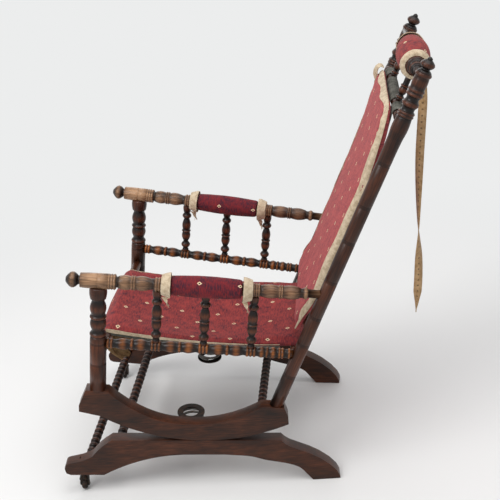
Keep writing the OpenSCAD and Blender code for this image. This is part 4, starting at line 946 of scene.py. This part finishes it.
TURNED = [
    "base_stretcher_front", "base_stretcher_middle", "base_stretcher_rear", "back_bottom_rail",
    "back_cross_rail", "crest_rail", "seat_rail_front", "seat_rail_rear",
] + [
    f"{piece}_{side}" for side, _ in SIDES
    for piece in ("front_post", "back_post", "arm_rail", "side_rail", "back_spindle")
] + [
    f"arm_spindle_{side}_{place}" for side, _ in SIDES for place in ("front", "middle", "rear")
]
PLANKS = ["base_runner_left", "base_runner_right", "rocker_left", "rocker_right"]
IRON = ["caster_socket_left", "caster_socket_right", "caster_fork_left", "caster_fork_right",
        "caster_wheel_left", "caster_wheel_right"] + [
    f"spring_bracket_{level}_{side}" for level in ("lower", "upper") for side in ("left", "right")]
STEEL = ["lower_bracket_screws", "upper_bracket_screws", "caster_axle_left", "caster_axle_right"]


def body_of(node):
    """The body that carries a node."""
    for body, nodes in frame["record"]["behaviour"]["bodies"].items():
        if node in nodes:
            return body
    raise KeyError(node)


class ROCKER_OT_finishes(bpy.types.Operator):
    """Make the materials"""
    bl_idname = "rocker.finishes"
    bl_label = "Finishes"

    def execute(self, context):
        wood = context.scene.rocker_wood
        cloth = context.scene.rocker_cloth
        # The posts look nearly black with brown ridges, and the side rails glint orange where they are rubbed
        stained_wood("dark_stained_beech", wood.dark, wood.mid, wood.post_worn, 0.8 * wood.wear, 0.36)
        stained_wood("rubbed_rail_beech", wood.dark, wood.mid, wood.worn, wood.wear, 0.32)
        # Bare pale wood shows where hands lie on the arms
        stained_wood("handled_beech", wood.dark, wood.arm_mid, wood.arm_worn, 1.0, 0.36)
        # The planks are plain dull brown, with a paler line along their rounded edges
        stained_wood("sawn_beech_plank", wood.dark, wood.plank, wood.post_worn, 0.4, 0.38)
        # One red cloth: darker on the pads as painted shade, for they are out of the light, duller on the
        # seat, faded and pink on the back
        figured_cloth("red_moquette_arm_shaded", cloth.pad, cloth.fleck, 0.08, cloth)
        figured_cloth("red_moquette_seat", cloth.seat, cloth.fleck, 0.03, cloth)
        figured_cloth("red_moquette_back", cloth.back, srgb("#74303d"), 0.02, cloth)
        # Cream ribbed lines round the edges, and a darker dotted one that hangs loose
        sewn_braid("cream_cotton_braid", cloth.braid, srgb("#bba487"), 0)
        sewn_braid("tan_hanging_braid", cloth.loose, srgb("#a98458"), 1)
        # Coarse brown bands; a torn flap painted tan, paler than its brown, as painted light where it hangs
        # in shade; and the grey green cloth behind the back and beside the seat, where its strip stands in
        # for a painted highlight on the side rail's top
        plain_weave("brown_jute_webbing", srgb("#8a6f4c"), srgb("#5b4530"), 0.0022, 1.0)
        plain_weave("torn_hessian_painted_paler", srgb("#bd9b70"), srgb("#80623f"), 0.0016, 1.0)
        plain_weave("grey_green_hessian", srgb("#75746c"), srgb("#46463f"), 0.0016, 0.3)
        # Nearly black brackets and casters with brown patches, and grey springs with fewer of them
        old_metal("rusted_black_iron", srgb("#2c2a29"), srgb("#4a3222"), 0.5, 0.5)
        old_metal("dull_spring_steel", srgb("#6d6a66"), srgb("#54402f"), 0.35, 0.38)
        return {"FINISHED"}


class ROCKER_OT_woodwork(bpy.types.Operator):
    """Finish the turned and sawn wood"""
    bl_idname = "rocker.woodwork"
    bl_label = "Woodwork"

    def execute(self, context):
        for node in TURNED:
            piece = merged_copy(f"{node}_turned", node)
            arm = node.startswith("arm_rail")
            rail = node.startswith("side_rail")
            turning_marks(piece, arm)
            shade(piece, 38)
            finish = "handled_beech" if arm else "rubbed_rail_beech" if rail else "dark_stained_beech"
            dress(piece, finish, node, body=body_of(node))
        for node in PLANKS:
            piece = merged_copy(f"{node}_sawn", node)
            plank_marks(piece)
            shade(piece, 30)
            dress(piece, "sawn_beech_plank", node, body=body_of(node))
        return {"FINISHED"}


class ROCKER_OT_ironwork(bpy.types.Operator):
    """Finish the brackets, screws and casters"""
    bl_idname = "rocker.ironwork"
    bl_label = "Ironwork"

    def execute(self, context):
        for nodes, finish in ((IRON, "rusted_black_iron"), (STEEL, "dull_spring_steel")):
            for node in nodes:
                piece = merged_copy(f"{node}_metal", node)
                shade(piece, 30)
                dress(piece, finish, node, body=body_of(node))
        return {"FINISHED"}


class ROCKER_OT_springs(bpy.types.Operator):
    """Wind the two coil springs, each in a part on the base and a part on the rocking frame"""
    bl_idname = "rocker.springs"
    bl_label = "Springs"

    def execute(self, context):
        tree = spring_tree()
        finish = bpy.data.materials["dull_spring_steel"]
        axis = Vector((0, math.sin(BASE_TILT), math.cos(BASE_TILT)))
        # The upper part's wire is a little thicker, so that the two don't share a surface where they overlap
        parts = (
            ("lower", 0.0, 0.62, SPRING_WIRE_R, "base"),
            ("upper", 0.38, 1.0, SPRING_WIRE_R + 0.00006, "rocking_frame"),
        )
        for side, _ in SIDES:
            node = f"coil_spring_{side}"
            low, high = (Vector(v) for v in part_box(node))
            tall = (high.z - low.z - 2 * SPRING_R * math.sin(BASE_TILT)) / math.cos(BASE_TILT)
            foot = (low + high) / 2 - axis * (tall / 2 - SPRING_WIRE_R)
            for part, start, end, wire, body in parts:
                piece = grown(f"{node}_{part}", tree, {
                    "Height": tall - 2 * SPRING_WIRE_R, "Start": start, "End": end, "Wire Radius": wire,
                    "Place": foot, "Turn": (-BASE_TILT, 0, 0), "Finish": finish,
                })
                shade(piece, 50)
                dress(piece, "dull_spring_steel", *([node] if part == "lower" else []), body=body)
        return {"FINISHED"}


def padded_piece(name, node, material, place, cap, turn=None):
    """A stuffed piece made from a CAD form: swollen, covered, given its material and attached to its body."""
    cloth = bpy.context.scene.rocker_cloth
    piece = merged_copy(name, node)
    stuffed(piece, cloth.voxel, cloth.pressure, cap)
    cloth_uv(piece, place(coordinates(piece.data)), turn)
    shade(piece, 70)
    smoother = piece.modifiers.new("smooth", "SUBSURF")
    smoother.levels = smoother.render_levels = 1
    dress(piece, material, node)
    return piece


def torn_lining():
    """The lining torn loose under the seat's near front corner, hanging in a ragged fold."""
    rng = np.random.default_rng(7)
    wide, long = 40, 14
    edge = rng.uniform(TORN_SHORTEST, 1.0, 12)
    torn = np.interp(np.linspace(0, 1, wide + 1), np.linspace(0, 1, len(edge)), edge)
    points = []
    for k in range(wide + 1):
        across = k / wide
        for j in range(long + 1):
            v = j / long * torn[k]
            fold = 0.005 * math.sin(across * 13 + 2 * v) * v
            points.append((
                TORN_X + TORN_W * across - 0.012 * v * v,
                TORN_Y + 0.052 * v ** 1.3 + fold,
                TORN_Z - 0.073 * v + 0.012 * v * v + 0.4 * fold,
            ))
    row = long + 1
    faces = [
        (k * row + j, k * row + j + 1, (k + 1) * row + j + 1, (k + 1) * row + j)
        for k in range(wide) for j in range(long)
    ]
    flap = new_piece("torn_lining_flap", points, faces)
    flap.modifiers.new("thick", "SOLIDIFY").thickness = TORN_T
    final_mesh(flap)
    shade(flap, 60)
    dress(flap, "torn_hessian_painted_paler")


class ROCKER_OT_seat(bpy.types.Operator):
    """Stuff the slung seat, edge it with braid, and hang its webbing and torn lining below"""
    bl_idname = "rocker.seat"
    bl_label = "Seat"

    def execute(self, context):
        path = seat_path()
        total = run_of(path[:, :2])[-1]
        place = path_place(path, SEAT_V)
        seat = padded_piece("seat_stuffed", "seat_cushion", "red_moquette_seat", place, BROAD_SWELL)
        surface = surface_of(seat)
        for side, sign in SIDES:
            rail_highlight_rows, hem = [], []
            for i, s in enumerate(np.arange(HEM_START, total - HEM_END, HEM_STEP)):
                point, _, normal, half = along_path(path, s)
                up = np.array([0, *normal])
                hit = surface.ray_cast(Vector((sign * 0.3, *point)), Vector((-sign, 0, 0)))[0]
                low = np.array([hit.x if hit else sign * half, *point])
                out = np.array([sign, 0, 0])
                # The braid narrows to the rear, where it is sewn under
                narrow = 1 - 0.85 * min(1, max(0, (s - 0.12) / (total - 0.26)))
                uneven = 1 + 0.1 * math.sin(i * 0.55)
                # The grey strip below the braid is a painted highlight of the side rail's top
                rail_highlight_rows.append((low - up * RAIL_HIGHLIGHT_STRIP_LOW + out * RAIL_HIGHLIGHT_STRIP_OUT, up, 1))
                hem.append((low - up * HEM_LOW + out * HEM_OUT, up, narrow * uneven))
            lining = ribbon(f"seat_side_lining_{side}", rail_highlight_rows, RAIL_HIGHLIGHT_STRIP_W, RAIL_HIGHLIGHT_STRIP_T)
            dress(lining, "grey_green_hessian")
            dress(ribbon(f"seat_edge_braid_{side}", hem, HEM_W, HEM_T), "cream_cotton_braid")
        webbing = merged_copy("seat_webbing_woven", "seat_webbing")
        shade(webbing, 40)
        dress(webbing, "brown_jute_webbing", "seat_webbing")
        torn_lining()
        return {"FINISHED"}


class ROCKER_OT_back(bpy.types.Operator):
    """Pad the back panel, edge it with braid, and cover it behind"""
    bl_idname = "rocker.back"
    bl_label = "Back"

    def execute(self, context):
        path = panel_path()
        total = run_of(path[:, :2])[-1]
        place = path_place(path, PANEL_V)
        back = padded_piece("back_stuffed", "back_panel", "red_moquette_back", place, BROAD_SWELL)
        rise = np.linspace(0.003, total - PANEL_BRAID_INSET, 90)
        near = [(along_path(path, s)[3] - PANEL_BRAID_INSET, s) for s in rise]
        outline = np.array(near + [(-x, s) for x, s in reversed(near)])
        dress(panel_braid("back_edge_braid", back, path, outline), "cream_cotton_braid")
        # The end of the top braid has come away and curls forward at the far corner, where it twists, so
        # that its outer face turns to the near side
        point, way, normal, _ = along_path(path, total - 0.004)
        rows = []
        for k, ((front, up), (ahead, over)) in enumerate(zip(CURL, np.gradient(CURL, axis=0))):
            place = point + normal * front + way * up
            outward = unit(way * ahead - normal * over)
            turn = 0.16 * k
            across = (math.cos(turn), *(-math.sin(turn) * outward))
            rows.append(((CURL_X - 0.0012 * k, *place), across, 1 - 0.04 * k))
        curl = ribbon("back_braid_curl", rows, context.scene.rocker_cloth.braid_w, CURL_T)
        dress(curl, "cream_cotton_braid")
        lining = merged_copy("back_lining_woven", "back_lining")
        shade(lining, 40)
        dress(lining, "grey_green_hessian", "back_lining")
        return {"FINISHED"}


class ROCKER_OT_head_roll(bpy.types.Operator):
    """Stuff the head roll and bind its ends"""
    bl_idname = "rocker.head_roll"
    bl_label = "Head Roll"

    def execute(self, context):
        back, height = on_post(CREST_ALONG, CREST_FRONT)
        start, end = (
            in_chair(ROLL_SHIFT + half, on_side(back)[1], height) for half in (-ROLL_L / 2, ROLL_L / 2)
        )
        place = axis_place(start, end, ROLL_R, (0, -1, 0), 62, 0.012)
        roll = padded_piece(
            "head_roll_stuffed", "head_roll", "red_moquette_seat", place, ROUND_SWELL, (0, math.tau * ROLL_R),
        )
        for label, foot, way in (("near", end, 1), ("far", start, -1)):
            ring = wound_braid(f"head_roll_ring_{label}", foot, (way, 0, 0), ROLL_RING, 0.0014, 0.0003)
            dress(ring, "cream_cotton_braid")
        return {"FINISHED"}


class ROCKER_OT_arm_pads(bpy.types.Operator):
    """Stuff the arm pads and bind their ends with braid whose tails hang frayed"""
    bl_idname = "rocker.arm_pads"
    bl_label = "Arm Pads"

    def execute(self, context):
        width = context.scene.rocker_cloth.braid_w
        fray = fray_tree()
        finish = bpy.data.materials["cream_cotton_braid"]
        # Each pad's row of lozenges: degrees above its right side, and shift along
        rows_at = {"left": (46, -0.0155), "right": (12, -0.019)}
        for side, sign in SIDES:
            front, rear = (
                on_side_frame(sign, ARM_PAD_MIDDLE + half, ARM_H) for half in (-ARM_PAD_L / 2, ARM_PAD_L / 2)
            )
            place = axis_place(front, rear, ARM_PAD_R, (1, 0, 0), *rows_at[side])
            pad = padded_piece(
                f"arm_pad_{side}_stuffed", f"arm_pad_{side}", "red_moquette_arm_shaded", place, ROUND_SWELL,
                (0, math.tau * ARM_PAD_R),
            )
            axis = (rear - front).normalized()
            out = Vector((sign, 0, 0))
            down = axis.cross(out)
            down = down if down.z < 0 else -down
            for end, foot, way, deep, seed in (
                ("front", front, -axis, 0.016, 3), ("rear", rear + axis * 0.003, axis, 0.02, 4),
            ):
                wound = wound_braid(f"arm_pad_{side}_braid_{end}", foot, way, PAD_RING, 0.0013, 0.0004)
                dress(wound, "cream_cotton_braid")
                top = foot + way * 0.006 - axis * 0.004 + down * 0.0255 + Vector((0.010, 0, 0))
                rows = []
                for t in np.linspace(0, 1, 9):
                    drop = Vector((
                        sign * 0.004 * math.sin(3 * t), 0.008 * t * t + 0.002 * math.sin(5 * t), -deep * t,
                    ))
                    across = axis * math.cos(1.4 * t) + out * math.sin(1.4 * t)
                    rows.append((top + drop, across, 0.75 - 0.2 * t))
                dress(ribbon(f"arm_pad_{side}_tail_{end}", rows, width, 0.0012), "cream_cotton_braid")
                last, across, _ = rows[-1]
                threads = grown(f"arm_pad_{side}_threads_{end}", fray, {
                    "Start": last - across * 0.004, "End": last + across * 0.004, "Count": 9,
                    "Length": 0.009, "Seed": seed, "Finish": finish,
                })
                shade(threads, 60)
                dress(threads, "cream_cotton_braid")
        return {"FINISHED"}


class ROCKER_OT_loose_braid(bpy.types.Operator):
    """Hang the length of loose braid behind the near post"""
    bl_idname = "rocker.loose_braid"
    bl_label = "Loose Braid"

    def execute(self, context):
        piece = merged_copy("loose_braid_hung", "loose_braid")
        co = coordinates(piece.data)
        height = co[:, 2].copy()
        top = height.max()
        share = (top - height) / np.ptp(height)
        turn = np.radians(np.interp(share, *np.array(BRAID_TURNS).T))
        # The last 55 mm is cut to a point
        narrow = np.clip((1 - share) * LOOSE_BRAID_L / 0.055, 0.12, 1)
        across = np.zeros(len(co))
        levels = np.round(height, 4)
        for level in np.unique(levels):
            ring = levels == level
            middle = (co[ring, :2].max(0) + co[ring, :2].min(0)) / 2
            d = co[ring, :2] - middle
            a = turn[ring]
            one = d[:, 0] * np.cos(a) + d[:, 1] * np.sin(a)
            two = d[:, 0] * np.sin(a) + d[:, 1] * np.cos(a)
            across[ring] = one if np.ptp(one) >= np.ptp(two) else two
            co[ring, :2] = middle + d * narrow[ring][:, None]
        move_to(piece.data, co)
        cloth_uv(piece, np.stack([across + LOOSE_BRAID_W / 2, top - height], 1))
        shade(piece, 60)
        dress(piece, "tan_hanging_braid", "loose_braid")
        return {"FINISHED"}


# Where the floor begins to turn into the backdrop's white, and where it has done so
FLOOR_FADE = (0.75, 1.9)
FLOOR_HALF, FLOOR_Z = 15, -0.0005
BACKDROP = srgb("#eceded")
# Name, place, aim, size and power
LAMPS = (
    ("window", (1.6, -1.5, 2.6), (0, 0, 0.45), 1.6, 46),
    ("ceiling", (0.4, 0.6, 3.2), (0, 0, 0.3), 2.4, 44),
    ("fill", (-2.6, -0.6, 1.7), (0, 0, 0.4), 1.8, 16),
)
# The camera that was fitted to the photograph
CAMERA_AT, CAMERA_AHEAD, CAMERA_ROLL = (2.2009, 0.26703, 1.5289), (-0.9028, -0.1039, -0.4173), -4.8
CAMERA_LENS, CAMERA_SENSOR, CAMERA_SHIFT = 72, 36, 0.001


def seen_rays(tree):
    """1 for the rays that are seen, straight or in a mirror or glass, and 0 for those that only light."""
    ray = add(tree, "ShaderNodeLightPath").outputs
    seen = add(tree, "ShaderNodeMath", (ray["Is Camera Ray"], ray["Is Glossy Ray"]), operation="MAXIMUM")
    return add(tree, "ShaderNodeMath", (seen, ray["Is Transmission Ray"]), operation="MAXIMUM")


class ROCKER_OT_stage(bpy.types.Operator):
    """Set the pale floor, the soft lamps and the camera"""
    bl_idname = "rocker.stage"
    bl_label = "Stage"

    def execute(self, context):
        scene = context.scene
        scene.view_settings.view_transform = "Standard"
        corners = [(x * FLOOR_HALF, y * FLOOR_HALF, 0) for x, y in ((-1, -1), (1, -1), (1, 1), (-1, 1))]
        floor = new_piece("floor", corners, [(0, 1, 2, 3)])
        floor.location.z = FLOOR_Z
        tree, shader = new_material("pale_matt_floor", {
            "Base Color": srgb("#ecebe9"), "Roughness": 0.9, "Specular IOR Level": 0.1,
        })
        # Past the lamps' reach the floor turns into the white of the backdrop
        place = add(tree, "ShaderNodeTexCoord").outputs["Object"]
        away = add(tree, "ShaderNodeVectorMath", (place,), operation="LENGTH")
        far = add(tree, "ShaderNodeMapRange", {
            "Value": away, "From Min": FLOOR_FADE[0], "From Max": FLOOR_FADE[1],
        }, interpolation_type="SMOOTHSTEP")
        far = add(tree, "ShaderNodeMath", (far, seen_rays(tree)), operation="MULTIPLY")
        glow = add(tree, "ShaderNodeEmission", {"Color": BACKDROP, "Strength": 1.0})
        blend = add(tree, "ShaderNodeMixShader", (far, shader, glow))
        feed(tree.nodes["Material Output"], {"Surface": blend})
        floor.data.materials.append(bpy.data.materials["pale_matt_floor"])
        world = bpy.data.worlds.new("studio")
        scene.world = world
        world.use_nodes = True
        tree = world.node_tree
        tree.nodes.clear()
        soft = add(tree, "ShaderNodeBackground", {"Color": srgb("#f4f6fa"), "Strength": 0.5})
        white = add(tree, "ShaderNodeBackground", {"Color": BACKDROP, "Strength": 1.0})
        both = add(tree, "ShaderNodeMixShader", (seen_rays(tree), soft, white))
        add(tree, "ShaderNodeOutputWorld", {"Surface": both})
        for name, spot, aim, size, power in LAMPS:
            lamp = bpy.data.lights.new(name, "AREA")
            lamp.size = size
            lamp.energy = power
            holder = bpy.data.objects.new(name, lamp)
            holder.location = spot
            holder.rotation_euler = (Vector(aim) - Vector(spot)).to_track_quat("-Z", "Y").to_euler()
            scene.collection.objects.link(holder)
        ahead = Vector(CAMERA_AHEAD).normalized()
        right = ahead.cross(Vector((0, 0, 1))).normalized()
        roll = math.radians(CAMERA_ROLL)
        across = right * math.cos(roll) + right.cross(ahead) * math.sin(roll)
        camera = bpy.data.cameras.new("camera")
        camera.lens = CAMERA_LENS
        camera.sensor_width = CAMERA_SENSOR
        camera.shift_x = CAMERA_SHIFT
        holder = bpy.data.objects.new("camera", camera)
        turn = Matrix((across, across.cross(ahead), -ahead)).transposed().to_4x4()
        holder.matrix_world = Matrix.Translation(CAMERA_AT) @ turn
        scene.collection.objects.link(holder)
        scene.camera = holder
        return {"FINISHED"}


OPERATORS = (
    ROCKER_OT_finishes, ROCKER_OT_stage, ROCKER_OT_woodwork, ROCKER_OT_ironwork, ROCKER_OT_springs,
    ROCKER_OT_seat, ROCKER_OT_back, ROCKER_OT_head_roll, ROCKER_OT_arm_pads, ROCKER_OT_loose_braid,
)


class VIEW3D_PT_rocker(bpy.types.Panel):
    """Settings and steps of the platform rocker"""
    bl_label = "Platform Rocker"
    bl_space_type = "VIEW_3D"
    bl_region_type = "UI"
    bl_category = "Rocker"

    def draw(self, context):
        for settings in (context.scene.rocker_wood, context.scene.rocker_cloth):
            box = self.layout.box()
            for key in settings.__annotations__:
                box.prop(settings, key)
        for operator in OPERATORS:
            self.layout.operator(operator.bl_idname)


CLASSES = (RockerWood, RockerCloth) + OPERATORS + (VIEW3D_PT_rocker,)


def register():
    for cls in CLASSES:
        bpy.utils.register_class(cls)
    bpy.types.Scene.rocker_wood = bpy.props.PointerProperty(type=RockerWood)
    bpy.types.Scene.rocker_cloth = bpy.props.PointerProperty(type=RockerCloth)


def unregister():
    del bpy.types.Scene.rocker_cloth
    del bpy.types.Scene.rocker_wood
    for cls in reversed(CLASSES):
        bpy.utils.unregister_class(cls)


def main():
    register()
    bpy.ops.rocker.finishes()
    bpy.ops.rocker.stage()
    bpy.ops.rocker.woodwork()
    bpy.ops.rocker.ironwork()
    bpy.ops.rocker.springs()
    bpy.ops.rocker.seat()
    bpy.ops.rocker.back()
    bpy.ops.rocker.head_roll()
    bpy.ops.rocker.arm_pads()
    bpy.ops.rocker.loose_braid()


if __name__ == "__main__":
    main()
